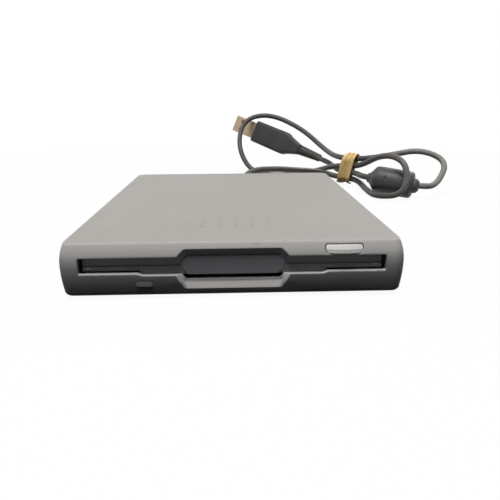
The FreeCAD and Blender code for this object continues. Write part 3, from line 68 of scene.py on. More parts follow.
class Shader:
    """Builds one material's node tree; each call adds a node and gives back its output."""

    def __init__(self, name):
        self.material = bpy.data.materials.new(name)
        self.material.use_nodes = True
        self.tree = self.material.node_tree
        self.tree.nodes.clear()
        self.place = self.add("ShaderNodeTexCoord").outputs["Object"]

    def add(self, kind, **settings):
        node = self.tree.nodes.new(kind)
        for key, value in settings.items():
            setattr(node, key, value)
        return node

    def feed(self, node, socket, value):
        if isinstance(value, bpy.types.NodeSocket):
            self.tree.links.new(value, node.inputs[socket])
        else:
            node.inputs[socket].default_value = value

    def noise(self, scale, detail=3.0, roughness=0.5, place=None):
        node = self.add("ShaderNodeTexNoise")
        self.feed(node, "Vector", place or self.place)
        self.feed(node, "Scale", scale)
        self.feed(node, "Detail", detail)
        self.feed(node, "Roughness", roughness)
        return node.outputs["Fac"]

    def cells(self, scale):
        node = self.add("ShaderNodeTexVoronoi")
        self.feed(node, "Vector", self.place)
        self.feed(node, "Scale", scale)
        return node.outputs["Distance"]

    def waves(self, scale, distortion, direction, detail=2.0, detail_scale=1.0):
        node = self.add("ShaderNodeTexWave", bands_direction=direction)
        self.feed(node, "Vector", self.place)
        self.feed(node, "Scale", scale)
        self.feed(node, "Distortion", distortion)
        self.feed(node, "Detail", detail)
        self.feed(node, "Detail Scale", detail_scale)
        return node.outputs["Fac"]

    def moved(self, scale=(1, 1, 1), turn=(0, 0, 0), shift=(0, 0, 0)):
        node = self.add("ShaderNodeMapping")
        self.feed(node, "Vector", self.place)
        self.feed(node, "Scale", scale)
        self.feed(node, "Rotation", turn)
        self.feed(node, "Location", shift)
        return node.outputs["Vector"]

    def patch(self, centre, reach):
        """1 inside a soft-edged ellipsoid given in millimetres, 0 outside."""
        scale = [1 / (r * MM) for r in reach]
        shift = [-c / r for c, r in zip(centre, reach)]
        node = self.add("ShaderNodeVectorMath", operation="LENGTH")
        self.feed(node, 0, self.moved(scale=scale, shift=shift))
        return self.ramp(node.outputs["Value"], 1.0, 0.6)

    def mark(self, tone, marks):
        """Small tinted places such as rubs, painted shade and painted highlight: (centre, reach, colour, strength,
        broken up or not).
        """
        for centre, reach, color, strength, broken in marks:
            here = self.math("MULTIPLY", self.patch(centre, reach), strength)
            if broken:
                flecks = self.noise(1, detail=3, place=self.moved(scale=(500, 1200, 1800)))
                here = self.math("MULTIPLY", here, self.ramp(flecks, 0.50, 0.60))
            tone = self.blend(here, tone, color)
        return tone

    def normal_z(self):
        geometry = self.add("ShaderNodeNewGeometry")
        axes = self.add("ShaderNodeSeparateXYZ")
        self.feed(axes, 0, geometry.outputs["Normal"])
        return axes.outputs["Z"]

    def height(self):
        node = self.add("ShaderNodeSeparateXYZ")
        self.feed(node, 0, self.place)
        return node.outputs["Z"]

    def ramp(self, value, low, high, start=0.0, end=1.0):
        node = self.add("ShaderNodeMapRange")
        self.feed(node, "Value", value)
        self.feed(node, "From Min", low)
        self.feed(node, "From Max", high)
        self.feed(node, "To Min", start)
        self.feed(node, "To Max", end)
        return node.outputs["Result"]

    def math(self, operation, a, b):
        node = self.add("ShaderNodeMath", operation=operation)
        self.feed(node, 0, a)
        self.feed(node, 1, b)
        return node.outputs[0]

    def blend(self, factor, a, b):
        node = self.add("ShaderNodeMix", data_type="RGBA", blend_type="MIX")
        self.feed(node, 0, factor)
        self.feed(node, 6, a)
        self.feed(node, 7, b)
        return node.outputs[2]

    def edges(self, radius):
        """1 on sharp edges, 0 on flat faces: how far the rounded normal leans from the true one."""
        rounded = self.add("ShaderNodeBevel", samples=4)
        self.feed(rounded, "Radius", radius)
        geometry = self.add("ShaderNodeNewGeometry")
        dot = self.add("ShaderNodeVectorMath", operation="DOT_PRODUCT")
        self.feed(dot, 0, rounded.outputs["Normal"])
        self.feed(dot, 1, geometry.outputs["Normal"])
        return self.ramp(dot.outputs["Value"], 0.992, 0.93)

    def bump(self, height, strength, distance, soft_edge=0.0):
        node = self.add("ShaderNodeBump")
        self.feed(node, "Height", height)
        self.feed(node, "Strength", strength)
        self.feed(node, "Distance", distance)
        if soft_edge:
            rounded = self.add("ShaderNodeBevel", samples=6)
            self.feed(rounded, "Radius", soft_edge)
            self.feed(node, "Normal", rounded.outputs["Normal"])
        return node.outputs["Normal"]

    def finish(self, color, roughness, normal, **fixed):
        surface = self.add("ShaderNodeBsdfPrincipled")
        self.feed(surface, "Base Color", color)
        self.feed(surface, "Roughness", roughness)
        self.feed(surface, "Normal", normal)
        for socket, value in fixed.items():
            self.feed(surface, socket.replace("_", " "), value)
        output = self.add("ShaderNodeOutputMaterial")
        self.tree.links.new(surface.outputs[0], output.inputs["Surface"])
        return self.material


def rgb(red, green, blue):
    return (red, green, blue, 1.0)


def shade(color, factor):
    return rgb(*(min(1.0, channel * factor) for channel in color[:3]))


# ---------------------------------------------------------------- materials

PALE_EDGE_REACH = 0.0005                         # how far the pale edges reach, which are partly wear and partly painted highlight
GRAIN_DEPTH = 0.000008
SHEEN_PAINT_FROM, SHEEN_PAINT_TO = 0.0125, 0.0150         # heights between which a front turns paler: a painted sheen on the upper front
SHADE_PAINT_FROM, SHADE_PAINT_TO = 0.0135, 0.0015       # heights between which the painted shade grows, darker towards the bottom


def moulded_plastic(name, color, roughness=0.5, grain=0.00025, soft_edge=0.0, edge_wear_and_highlight=0.0, scuffs=0.0,
                    mottle=0.04, paler=0.0, painted_shade=0.0, marks=(), **fixed):
    """Textured injection moulding: spark-eroded grain, slight mottling, pale edges (partly wear, partly painted
    highlight), light scuffs, a painted sheen high on the front and painted shade low down and underneath.
    """
    s = Shader(name)
    cloud = s.noise(38, detail=4)
    tone = s.blend(s.ramp(cloud, 0.3, 0.7), shade(color, 1 - mottle), shade(color, 1 + mottle))
    if edge_wear_and_highlight:
        # pale edges: partly wear, partly a painted highlight on sharp edges such as the front crease and the slot's
        # lower edge
        patchy = s.ramp(s.noise(220, detail=5), 0.42, 0.66, 0.55, 1.0)
        wear_and_highlight = s.math("MULTIPLY", s.math("MULTIPLY", s.edges(PALE_EDGE_REACH), patchy), edge_wear_and_highlight)
        tone = s.blend(wear_and_highlight, tone, shade(color, 1.7))
    rough = s.ramp(s.noise(90, detail=6), 0.3, 0.7, roughness - 0.05, roughness + 0.05)
    if scuffs:
        lines = None
        for turn, width in ((0.5, 0.012), (2.0, 0.010), (1.2, 0.008)):
            stretched = s.moved(scale=(18, 900, 900), turn=(0, 0, turn))
            thin = s.ramp(s.noise(1.0, detail=2, place=stretched), 0.70, 0.73)
            where = s.ramp(s.noise(22, detail=1, place=s.moved(shift=(turn, turn, 0))), 0.58, 0.66)
            line = s.math("MULTIPLY", thin, where)
            lines = line if lines is None else s.math("MAXIMUM", lines, line)
        tone = s.blend(s.math("MULTIPLY", lines, scuffs), tone, shade(color, 1.5))
    if paler:
        # painted sheen: the upper part of the front is made paler in place of the light on its shoulder
        tone = s.blend(s.ramp(s.height(), SHEEN_PAINT_FROM, SHEEN_PAINT_TO), tone, shade(color, 1 + paler))
    if painted_shade:
        # painted shade: a bluish dark tone on the lower part of faces that don't look up, and on faces turned down
        height = s.math("ADD", s.height(), s.ramp(s.noise(55, detail=4), 0.3, 0.7, -0.0006, 0.0006))
        red, green, blue = color[:3]
        shade_tone = rgb(red * 0.07, green * 0.073, blue * 0.11)
        looks_up = s.normal_z()
        low = s.math("MULTIPLY", s.ramp(height, SHADE_PAINT_FROM, SHADE_PAINT_TO, 0.0, painted_shade), s.ramp(looks_up, 0.4, 0.1))
        under = s.ramp(looks_up, -0.25, -0.55, 0.0, 0.75 * painted_shade)
        tone = s.blend(s.math("MAXIMUM", low, under), tone, shade_tone)
    tone = s.mark(tone, marks)
    texture = s.noise(1 / grain, detail=2, roughness=0.6)
    normal = s.bump(texture, 0.5, GRAIN_DEPTH, soft_edge)
    return s.finish(tone, rough, normal, **fixed)


def sheet_metal(name, color, roughness, spangle=0.0, direction=(1, 40, 40)):
    """Plated or ground steel: fine drawn lines, patchy plating and a few dull marks."""
    s = Shader(name)
    lines = s.noise(60, detail=5, place=s.moved(scale=direction))
    patches = s.noise(140, detail=3)
    tone = s.blend(s.ramp(lines, 0.25, 0.75), shade(color, 0.82), shade(color, 1.08))
    if spangle:
        flakes = s.cells(420)
        tone = s.blend(s.ramp(flakes, 0.0, 0.9, 0.0, spangle), tone, shade(color, 0.6))
    rough = s.ramp(s.math("ADD", lines, patches), 0.6, 1.4, roughness - 0.08, roughness + 0.12)
    normal = s.bump(lines, 0.35, 0.00001, 0.0001)
    return s.finish(tone, rough, normal, Metallic=1.0)


def circuit_board(name):
    """Solder mask with copper tracks showing through and a sprinkle of vias."""
    s = Shader(name)
    track_x = s.ramp(s.waves(260, 2.2, "X", detail=1, detail_scale=90), 0.72, 0.80)
    track_y = s.ramp(s.waves(230, 2.6, "Y", detail=1, detail_scale=70), 0.74, 0.82)
    tracks = s.math("MAXIMUM", track_x, track_y)
    vias = s.ramp(s.cells(330), 0.10, 0.06)
    mask = s.blend(s.ramp(s.noise(60), 0.3, 0.7), rgb(0.010, 0.085, 0.030), rgb(0.016, 0.11, 0.042))
    tone = s.blend(s.math("MULTIPLY", tracks, 0.75), mask, rgb(0.05, 0.26, 0.08))
    tone = s.blend(vias, tone, rgb(0.62, 0.60, 0.52))
    normal = s.bump(tracks, 0.6, 0.00003)
    return s.finish(tone, s.ramp(s.noise(300), 0.3, 0.7, 0.28, 0.42), normal)


def soft_vinyl(name, color, roughness, dust=0.12, paler_along_x=None, marks=()):
    """The lead's jacket and mouldings: faint extrusion haze and dust; the optional span (from X, to X, paler colour)
    turns the jacket paler along X.
    """
    s = Shader(name)
    haze = s.noise(120, detail=5)
    tone = s.blend(s.ramp(haze, 0.35, 0.7), shade(color, 0.88), shade(color, 1.12))
    # the jacket turns paler along X over the given span
    if paler_along_x:
        low, high, paler = paler_along_x
        axes = s.add("ShaderNodeSeparateXYZ")
        s.feed(axes, 0, s.place)
        uneven = s.math("ADD", axes.outputs["X"], s.ramp(s.noise(60, detail=4), 0.3, 0.7, -0.012, 0.012))
        tone = s.blend(s.ramp(uneven, low, high), tone, paler)
    tone = s.mark(tone, marks)
    specks = s.ramp(s.noise(1600, detail=2), 0.66, 0.74)
    tone = s.blend(s.math("MULTIPLY", specks, dust), tone, rgb(0.42, 0.40, 0.36))
    rough = s.ramp(s.noise(260, detail=4), 0.3, 0.7, roughness - 0.07, roughness + 0.09)
    normal = s.bump(s.noise(420, detail=2), 0.10, 0.00002, 0.0002)
    return s.finish(tone, rough, normal, Specular_IOR_Level=0.35)


def coil_wire(name):
    s = Shader(name)
    turns = s.waves(900, 0.4, "Z")
    tone = s.blend(s.ramp(turns, 0.2, 0.8), rgb(0.36, 0.10, 0.03), rgb(0.72, 0.30, 0.11))
    return s.finish(tone, 0.32, s.bump(turns, 0.8, 0.00008), Metallic=0.7)


def latex(name):
    """Old rubber band: tan, with a painted highlight on paler stretched ridges and painted shade in darker brown
    hollows between the strands.
    """
    s = Shader(name)
    cloud = s.noise(300, detail=4, roughness=0.6)
    strands = s.noise(260, detail=3, place=s.moved(scale=(2.0, 2.0, 0.35), turn=(0.35, 0.15, 0)))
    tone = s.blend(s.ramp(cloud, 0.3, 0.7), rgb(0.95, 0.60, 0.20), rgb(1.0, 0.78, 0.37))
    # paler stretched ridges: painted highlight
    tone = s.blend(s.ramp(strands, 0.52, 0.70, 0.0, 0.8), tone, rgb(1.0, 0.93, 0.66))
    # darker brown hollows between the strands: painted shade
    tone = s.blend(s.ramp(strands, 0.38, 0.26, 0.0, 0.5), tone, rgb(0.78, 0.42, 0.17))
    normal = s.bump(strands, 0.35, 0.00015)
    return s.finish(tone, s.ramp(cloud, 0.3, 0.7, 0.42, 0.58), normal, Specular_IOR_Level=0.15)


def frosted_lens(name):
    """Smoked diffuser of the lamp."""
    s = Shader(name)
    swirl = s.noise(800, detail=2)
    tone = s.blend(s.ramp(swirl, 0.3, 0.7), rgb(0.135, 0.133, 0.145), rgb(0.18, 0.178, 0.19))
    return s.finish(tone, 0.30, s.bump(swirl, 0.2, 0.00001, 0.0001), Specular_IOR_Level=0.3)


TOP_GREY = rgb(0.405, 0.391, 0.369)
BASE_GREY = rgb(0.390, 0.384, 0.378)
BEZEL_GREY = rgb(0.520, 0.510, 0.496)
FLAP_GREY = rgb(0.190, 0.183, 0.200)
BUTTON_SILVER = rgb(0.94, 0.93, 0.90)
CORD_GREY = rgb(0.092, 0.086, 0.080)
SLEEVE_GREY = rgb(0.072, 0.070, 0.071)
PLUG_GREY = rgb(0.048, 0.0465, 0.0485)

PALE_RUB, DARK_RUB, SCOOP_PAINTED_SHADE = rgb(0.78, 0.75, 0.70), rgb(0.10, 0.10, 0.10), rgb(0.12, 0.12, 0.125)
# Places for Shader.mark, in millimetres: rubs along the upper edge, then painted shade at the back and in the lower
# corners of the finger scoop.
BEZEL_MARKS = [
    ((-28.0, -71, 16.2), (2.0, 2, 0.22), PALE_RUB, 0.6, True),
    ((-17.5, -71, 15.9), (3.4, 2, 0.26), PALE_RUB, 0.7, True),
    ((-23.0, -71, 15.8), (1.8, 2, 0.18), PALE_RUB, 0.5, True),
    ((7.0, -71, 16.8), (2.6, 2, 0.22), DARK_RUB, 0.6, False),
    ((12.0, -71, 16.0), (0.4, 2, 0.5), DARK_RUB, 0.5, True),
    # painted shade at the back of the scoop's floor, under the flap, and in the scoop's two lower corners
    ((0.0, -68.7, 5.9), (40.0, 1.2, 1.4), SCOOP_PAINTED_SHADE, 0.85, False),
    ((-17.0, -70.8, 3.0), (3.6, 3, 3.0), SCOOP_PAINTED_SHADE, 0.85, False),
    ((17.0, -70.8, 3.0), (3.6, 3, 3.0), SCOOP_PAINTED_SHADE, 0.85, False),
]
# pale spots at both ends of the flap: painted highlight in place of the light on two small end nubs
FLAP_PAINTED_HIGHLIGHTS = [((side * 43.3, -70, 9.65), (1.5, 2, 0.32), rgb(0.80, 0.78, 0.74), 0.9, False) for side in (-1, 1)]


def make_materials():
    zinc = sheet_metal("zinc_steel", rgb(0.62, 0.62, 0.59), 0.34, spangle=0.25)
    ground = sheet_metal("ground_steel", rgb(0.66, 0.66, 0.67), 0.18, direction=(40, 1, 40))
    black = moulded_plastic("black_plastic", rgb(0.022, 0.022, 0.024), 0.42, soft_edge=0.00015)
    white = moulded_plastic("white_acetal", rgb(0.74, 0.73, 0.70), 0.35, grain=0.0004, soft_edge=0.00015)
    board = circuit_board("circuit_board")
    lens = frosted_lens("lamp_lens")
    case_gloss = {"Specular_IOR_Level": 0.04}       # dull, dusty case
    return {
        "top_cover": moulded_plastic("cover_grey", TOP_GREY, 0.50, soft_edge=0.0004, edge_wear_and_highlight=0.8, scuffs=0.3,
                                     mottle=0.02, **case_gloss),
        "bottom_cover": moulded_plastic("base_grey", BASE_GREY, 0.55, soft_edge=0.0010, edge_wear_and_highlight=0.2,
                                        scuffs=0.2, painted_shade=0.5, **case_gloss),
        "front_bezel": moulded_plastic("bezel_grey", BEZEL_GREY, 0.42, grain=0.0002, soft_edge=0.0007,
                                       edge_wear_and_highlight=0.7, scuffs=0.5, mottle=0.02, paler=0.2, painted_shade=0.95,
                                       marks=BEZEL_MARKS, **case_gloss),
        "rubber_feet": soft_vinyl("foot_rubber", rgb(0.02, 0.02, 0.021), 0.75),
        "dust_flap": moulded_plastic("flap_grey", FLAP_GREY, 0.5, soft_edge=0.00025, marks=FLAP_PAINTED_HIGHLIGHTS,
                                     Specular_IOR_Level=0.3),
        "eject_button": moulded_plastic("button_silver", BUTTON_SILVER, 0.32, grain=0.00015, soft_edge=0.00015,
                                        mottle=0.01, Metallic=0.1, Specular_IOR_Level=0.3),
        "activity_lamp_lens": lens, "activity_led": lens,
        "lamp_board": board, "stator_board": board, "logic_board": board,
        "stator_coils": coil_wire("coil_copper"),
        "spindle_bearing": sheet_metal("bearing_brass", rgb(0.66, 0.47, 0.20), 0.4),
        "magnet_ring": moulded_plastic("magnet_black", rgb(0.035, 0.035, 0.040), 0.6, grain=0.0003),
        "ferrite_core": moulded_plastic("ferrite", rgb(0.05, 0.05, 0.055), 0.5, grain=0.0003),
        "spindle_shaft": ground, "spindle_hub": ground, "guide_rod": ground, "head_arm_pin": ground,
        "lead_screw": ground, "flap_spring": ground, "eject_springs": ground,
        "drive_pin": white, "usb_header": white, "plug_tongue": white,
        "rod_clamps": black, "head_carriage": black, "track_zero_sensor": black, "sensor_switches": black,
        "board_chips": moulded_plastic("chip_black", rgb(0.02, 0.02, 0.021), 0.55, grain=0.0003,
                                       soft_edge=0.00012),
        "board_parts": moulded_plastic("part_buff", rgb(0.30, 0.24, 0.16), 0.4, grain=0.0004, soft_edge=0.0002),
        "inner_wires": soft_vinyl("wire_red", rgb(0.42, 0.03, 0.02), 0.4, dust=0.05),
        "lower_head": moulded_plastic("head_ceramic", rgb(0.52, 0.48, 0.40), 0.15, grain=0.0004,
                                      soft_edge=0.0002),
        "upper_head": moulded_plastic("head_ceramic_upper", rgb(0.52, 0.48, 0.40), 0.15, grain=0.0004),
        "cord_gland": soft_vinyl("cord_grey_gland", CORD_GREY, 0.55),
        "plug_relief": soft_vinyl("cord_grey_relief", CORD_GREY, 0.55),
        "plug_shell": sheet_metal("plug_steel", rgb(0.42, 0.335, 0.235), 0.36),
        "plug_contacts": sheet_metal("gilt", rgb(0.83, 0.60, 0.22), 0.25),
        "default": zinc,
    }


def dress_nodes(materials):
    for name, node in NODES.items():
        material = materials.get(name, materials["default"])
        for material_slot in node.material_slots:
            material_slot.material = material


# ---------------------------------------------------------------- the lead

HALF_D = 71.0            # the case's back, in millimetres behind its centre
CORD_D = 3.5
# The lead's middle line, in millimetres: X, distance behind the case and height.
CORD_ROUTE = [
    (4, -5, 10), (4, 10, 10), (10.5, 23, 16), (27, 34.5, 15), (40.5, 44, 12.8),
    (51.5, 54, 10.8), (61, 60, 8.6), (69.5, 56, 6.3), (79.5, 45.5, 6.3),
    (79.4, 18, 3.8), (82.8, 8.5, 2.1), (95, 1, 4), (98, 1.5, 14), (96, 6, 23.5), (88, 20, 25),
    (80.3, 45, 14.2), (67.3, 55, 14.2),
    (57, 72.5, 8), (38.5, 93, 2.2), (14.5, 101, 2.4), (4, 112.5, 20), (8, 124, 40), (28, 127, 44.8),
    (51.5, 112.5, 34.5), (67, 91, 19.8), (68.8, 57, 18.9), (81.3, 46, 18.9),
    (97.5, 38.5, 22), (115.5, 35, 26), (130.2, 28, 19.5), (120.5, 15, 8), (110, 7.2, 7),
    (78, 24.7, 11.2), (77.8, 34.5, 11), (78, 46, 10.3), (70, 56.5, 10.3),
    (69.5, 74, 10.8), (68.7, 90.3, 12), (50, 103.5, 19.2),
]
ROUTE_MM = [(x, HALF_D + behind, z) for x, behind, z in CORD_ROUTE]


def add_cord():
    data = bpy.data.curves.new("usb_lead", "CURVE")
    data.dimensions = "3D"
    data.bevel_depth = CORD_D / 2 * MM
    data.bevel_resolution = 5
    data.resolution_u = 10
    data.use_fill_caps = True
    spline = data.splines.new("NURBS")
    spline.points.add(len(ROUTE_MM) - 1)
    for point, place in zip(spline.points, ROUTE_MM):
        point.co = (*(Vector(place) * MM), 1)
    spline.order_u = 3
    spline.use_endpoint_u = True
    lead = bpy.data.objects.new("usb_lead", data)
    bpy.context.collection.objects.link(lead)
    # paler towards larger X, on the loop at the right
    paler_along_x = (0.084, 0.116, rgb(0.27, 0.25, 0.235))
    data.materials.append(soft_vinyl("cord_jacket", CORD_GREY, 0.46, paler_along_x=paler_along_x))
    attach(lead, "case")
    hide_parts("usb_cord")
    return lead


# ---------------------------------------------------------------- band, sleeve and plug

def skin(name, rings, material, node):
    """Smooth closed surface through a row of equal rings; stands for one of the solids on the lead."""
    mesh = bpy.data.meshes.new(name)
    count = len(rings[0])
    points = [point * MM for ring in rings for point in ring]
    faces = []
    for row in range(len(rings) - 1):
        for i in range(count):
            a, b = row * count + i, row * count + (i + 1) % count
            faces.append((a, b, b + count, a + count))
    faces.append(tuple(reversed(range(count))))
    faces.append(tuple(range((len(rings) - 1) * count, len(rings) * count)))
    mesh.from_pydata(points, [], faces)
    shell = bmesh.new()
    shell.from_mesh(mesh)
    bmesh.ops.recalc_face_normals(shell, faces=shell.faces)
    shell.to_mesh(mesh)
    shell.free()
    mesh.polygons.foreach_set("use_smooth", [True] * len(mesh.polygons))
    mesh.materials.append(material)
    piece = bpy.data.objects.new(name, mesh)
    bpy.context.collection.objects.link(piece)
    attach(piece, "case")
    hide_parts(node)
    return piece


BAND_PLACE = Vector((74.6, HALF_D + 51.0, 12.75))
BAND_ALONG = Vector((0.783, -0.622, 0)).normalized()
BAND_LEAN = math.radians(15)
BAND_HALF_W, BAND_HALF_H = 3.7, 8.5      # the hank inside it
BAND_TURNS, BAND_PITCH, STRAP_W, STRAP_T = 3, 2.6, 3.3, 1.0


def around_hank(turn, grow):
    """Point on the upright oval round the hank; turn runs from 0 to 1 for once round, from the bottom."""
    radius = BAND_HALF_W + grow
    straight = 2 * (BAND_HALF_H - BAND_HALF_W)
    bend = math.pi * radius
    s = (turn % 1.0) * 2 * (straight + bend)
    if s < bend / 2:
        angle = s / radius
        return radius * math.sin(angle), -straight / 2 - radius * math.cos(angle)
    if s < bend / 2 + straight:
        return radius, s - bend / 2 - straight / 2
    if s < 1.5 * bend + straight:
        angle = (s - bend / 2 - straight) / radius
        return radius * math.cos(angle), straight / 2 + radius * math.sin(angle)
    if s < 1.5 * bend + 2 * straight:
        return -radius, straight / 2 - (s - 1.5 * bend - straight)
    angle = (s - 1.5 * bend - 2 * straight) / radius
    return -radius * math.cos(angle), -straight / 2 - radius * math.sin(angle)


def add_band():
    """A flat strap wound three times round the hank, rolling over itself as it goes."""
    across = Vector((-BAND_ALONG.y, BAND_ALONG.x, 0))
    up = Vector((0, 0, 1))
    steps, section = 70 * BAND_TURNS, 14
    rings = []
    for i in range(steps + 1):
        share = i / steps
        turn = share * BAND_TURNS
        # each turn lies a little higher or lower than its neighbours
        lift = 0.30 * math.sin(2.1 * turn + 0.6) + 0.12 * math.sin(9.0 * turn)
        x, z = around_hank(turn, STRAP_T / 2 + 0.15 + lift)
        dx, dz = around_hank(turn, STRAP_T / 2 + 1.15 + lift)
        outward = (across * (dx - x) + up * (dz - z)).normalized()
        offset = (turn - BAND_TURNS / 2) * BAND_PITCH + z * math.tan(BAND_LEAN)
        centre = BAND_PLACE + BAND_ALONG * offset + across * x + up * z
        roll = 0.30 * math.sin(5.2 * turn) + 0.16 * math.sin(13.0 * turn + 1.0)
        flat = BAND_ALONG * math.cos(roll) + outward * math.sin(roll)
        thick = outward * math.cos(roll) - BAND_ALONG * math.sin(roll)
        width = STRAP_W * (1 + 0.10 * math.sin(7.3 * turn + 2.0))
        ring = []
        for k in range(section):
            angle = 2 * math.pi * k / section
            c, d = math.cos(angle), math.sin(angle)
            ring.append(centre + flat * (width / 2 * math.copysign(abs(c) ** 0.7, c))
                        + thick * (STRAP_T / 2 * math.copysign(abs(d) ** 0.8, d)))
        rings.append(ring)
    return skin("rubber_band_wound", rings, latex("band_latex"), "rubber_band")


def lathe_rings(profile, start, along):
    """Rings for a turned form; profile is a list of (distance along, radius)."""
    count = 40
    side = along.cross(Vector((0, 0, 1))).normalized()
    over = side.cross(along)
    rings = []
    for s, radius in profile:
        ring = []
        for k in range(count):
            angle = 2 * math.pi * k / count
            ring.append(start + along * s + side * (radius * math.cos(angle)) + over * (radius * math.sin(angle)))
        rings.append(ring)
    return rings


def rounded(profile):
    """The same profile with each inner corner cut to a short curve."""
    cuts, share = 3, 0.3
    points = [Vector(p) for p in profile]
    smooth = [points[0]]
    for before, corner, after in zip(points, points[1:], points[2:]):
        first, last = corner.lerp(before, share), corner.lerp(after, share)
        for i in range(cuts + 1):
            t = i / cuts
            smooth.append(first.lerp(corner, t).lerp(corner.lerp(last, t), t))
    smooth.append(points[-1])
    return [(p.x, p.y) for p in smooth]


SLEEVE_R, SLEEVE_FROM, SLEEVE_TO = 7.8, 6.9, 30.6


def add_sleeve():
    """Moulded cover of the ferrite: barrel, collar at one end and a drawn-down tail at the other."""
    start, end = Vector(ROUTE_MM[-8]), Vector(ROUTE_MM[-7])
    a, b, r, tail = SLEEVE_FROM, SLEEVE_TO, SLEEVE_R, CORD_D / 2 + 1.0
    profile = [(a - 3.6, CORD_D / 2), (a - 3.4, tail), (a - 2.2, tail + 1.3), (a - 0.3, tail + 1.6),
               (a - 0.1, r - 1.8), (a + 0.5, r - 0.5), (a + 1.8, r), (b - 3.4, r), (b - 1.6, r - 0.7),
               (b - 0.4, r - 2.3), (b + 0.6, 4.2), (b + 1.6, tail + 0.3), (b + 3.0, tail - 0.2),
               (b + 3.2, CORD_D / 2)]
    rings = lathe_rings(rounded(profile), start, (end - start).normalized())
    # painted shade for a small notch in the barrel, with a paler spot beside it as painted highlight on its pip
    marks = [((87.8, 82.3, 12.8), (1.5, 1.5, 1.2), rgb(0.012, 0.012, 0.013), 1.0, False),
             ((89.6, 82.0, 13.5), (0.7, 0.7, 0.5), rgb(0.16, 0.16, 0.16), 0.8, False)]
    return skin("ferrite_sleeve_cover", rings, soft_vinyl("sleeve_vinyl", SLEEVE_GREY, 0.46, marks=marks),
                "ferrite_sleeve")


PLUG_FACE = Vector((-0.494, -0.835, 0.242))      # the way the plug's broad side looks
# stations of the overmoulding: distance from the lead's end, width, thickness
PLUG_STATIONS = [(-0.2, 5.6, 5.6), (0.0, 7.0, 6.6), (1.2, 7.6, 6.9), (6.0, 10.4, 7.7), (10.2, 13.2, 8.3),
                 (11.6, 14.6, 8.4), (13.2, 16.2, 8.4), (14.2, 16.4, 8.4), (20.0, 16.4, 8.4), (20.5, 16.0, 8.1),
                 (21.0, 16.3, 8.3), (30.0, 16.2, 8.2), (40.0, 16.0, 8.0), (40.7, 15.6, 7.7), (41.0, 14.6, 6.8),
                 (41.0, 12.2, 4.7), (38.0, 12.1, 4.6)]


def add_plug_body():
    """Overmoulding of the plug: neck, a shallow grip line and a squarish nose with softened corners."""
    end, before = Vector(ROUTE_MM[-1]), Vector(ROUTE_MM[-2])
    along = (end - before).normalized()
    normal = (PLUG_FACE - along * PLUG_FACE.dot(along)).normalized()
    across = along.cross(normal)
    count, power = 48, 0.34
    rings = []
    for s, width, thick in PLUG_STATIONS:
        ring = []
        for k in range(count):
            angle = 2 * math.pi * (k + 0.5) / count
            c, d = math.cos(angle), math.sin(angle)
            ring.append(end + along * s + across * (width / 2 * math.copysign(abs(c) ** power, c))
                        + normal * (thick / 2 * math.copysign(abs(d) ** power, d)))
        rings.append(ring)
    return skin("plug_overmould", rings, soft_vinyl("plug_vinyl", PLUG_GREY, 0.52), "plug_body")


# ---------------------------------------------------------------- floor and light

def add_floor():
    """Just under the feet, so that the two faces don't lie in one plane."""
    mesh = bpy.data.meshes.new("floor")
    half, down = 3.0, -0.00005
    corners = [(-half, -half, down), (half, -half, down), (half, half, down), (-half, half, down)]
    mesh.from_pydata(corners, [], [(0, 1, 2, 3)])
    floor = bpy.data.objects.new("floor", mesh)
    bpy.context.collection.objects.link(floor)
    mesh.materials.append(floor_paper())


def seen_directly(tree):
    """1 for camera, glossy and transmission rays, 0 for the rest."""
    path = tree.nodes.new("ShaderNodeLightPath")
    value = path.outputs["Is Camera Ray"]
    for other in ("Is Glossy Ray", "Is Transmission Ray"):
        node = tree.nodes.new("ShaderNodeMath")
        node.operation = "MAXIMUM"
        tree.links.new(value, node.inputs[0])
        tree.links.new(path.outputs[other], node.inputs[1])
        value = node.outputs[0]
    return value


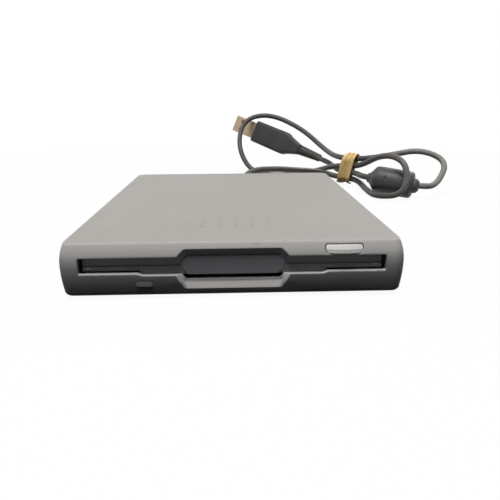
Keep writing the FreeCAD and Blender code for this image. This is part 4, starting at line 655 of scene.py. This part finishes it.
def floor_paper():
    """Pale floor: white where it is seen, quiet where it throws light back; its glow is painted a little dimmer near
    the drive, which the lamps fill back to white except in the soft shadow.
    """
    material = bpy.data.materials.new("floor_paper")
    material.use_nodes = True
    tree = material.node_tree
    tree.nodes.clear()
    paper = tree.nodes.new("ShaderNodeBsdfDiffuse")
    paper.inputs["Color"].default_value = rgb(0.05, 0.05, 0.052)
    place = tree.nodes.new("ShaderNodeTexCoord")
    away = tree.nodes.new("ShaderNodeVectorMath")
    away.operation = "LENGTH"
    tree.links.new(place.outputs["Object"], away.inputs[0])
    # painted shade: the glow is dimmed close to the drive, so that the lit floor adds up to white there and the real
    # shadow shows darker
    level = tree.nodes.new("ShaderNodeMapRange")
    for socket, value in (("From Min", 0.3), ("From Max", 1.2), ("To Min", 0.945), ("To Max", 1.0)):
        level.inputs[socket].default_value = value
    tree.links.new(away.outputs["Value"], level.inputs["Value"])
    glow = tree.nodes.new("ShaderNodeMath")
    glow.operation = "MULTIPLY"
    tree.links.new(level.outputs["Result"], glow.inputs[0])
    tree.links.new(seen_directly(tree), glow.inputs[1])
    white = tree.nodes.new("ShaderNodeEmission")
    tree.links.new(glow.outputs[0], white.inputs["Strength"])
    both = tree.nodes.new("ShaderNodeAddShader")
    tree.links.new(paper.outputs[0], both.inputs[0])
    tree.links.new(white.outputs[0], both.inputs[1])
    output = tree.nodes.new("ShaderNodeOutputMaterial")
    tree.links.new(both.outputs[0], output.inputs["Surface"])
    return material


def add_world():
    world = bpy.data.worlds.new("studio")
    bpy.context.scene.world = world
    world.use_nodes = True
    tree = world.node_tree
    tree.nodes.clear()
    dim = tree.nodes.new("ShaderNodeBackground")
    dim.inputs["Color"].default_value = rgb(0.80, 0.88, 1.0)
    dim.inputs["Strength"].default_value = 0.025
    white = tree.nodes.new("ShaderNodeBackground")
    white.inputs["Color"].default_value = rgb(1, 1, 1)
    white.inputs["Strength"].default_value = 1.0
    mix = tree.nodes.new("ShaderNodeMixShader")
    tree.links.new(seen_directly(tree), mix.inputs[0])
    tree.links.new(dim.outputs[0], mix.inputs[1])
    tree.links.new(white.outputs[0], mix.inputs[2])
    output = tree.nodes.new("ShaderNodeOutputWorld")
    tree.links.new(mix.outputs[0], output.inputs["Surface"])


def add_softbox(name, place, target, width, height, power, color=(1, 1, 1)):
    data = bpy.data.lights.new(name, "AREA")
    data.shape = "RECTANGLE"
    data.size, data.size_y = width, height
    data.energy = power
    data.color = color
    lamp = bpy.data.objects.new(name, data)
    bpy.context.collection.objects.link(lamp)
    lamp.location = place
    lamp.rotation_euler = (Vector(target) - Vector(place)).to_track_quat("-Z", "Y").to_euler()


def add_lights():
    add_softbox("overhead", (-0.10, -0.38, 1.28), (0, 0, 0), 0.5, 0.5, 15.8, (1.0, 0.99, 0.975))
    add_softbox("back_fill", (0.75, 1.0, 0.75), (0, 0.05, 0.01), 0.5, 0.4, 4.5, (0.97, 0.98, 1.0))
    add_softbox("left_fill", (-1.0, 0.7, 0.65), (0, 0.05, 0.01), 0.4, 0.4, 2.2, (0.97, 0.98, 1.0))


# ---------------------------------------------------------------- put together

materials = make_materials()
dress_nodes(materials)
lead = add_cord()
lead_pieces = [add_band(), add_sleeve(), add_plug_body()]
add_floor()
add_world()
add_lights()
add_camera()

bpy.context.scene.view_settings.view_transform = "Standard"
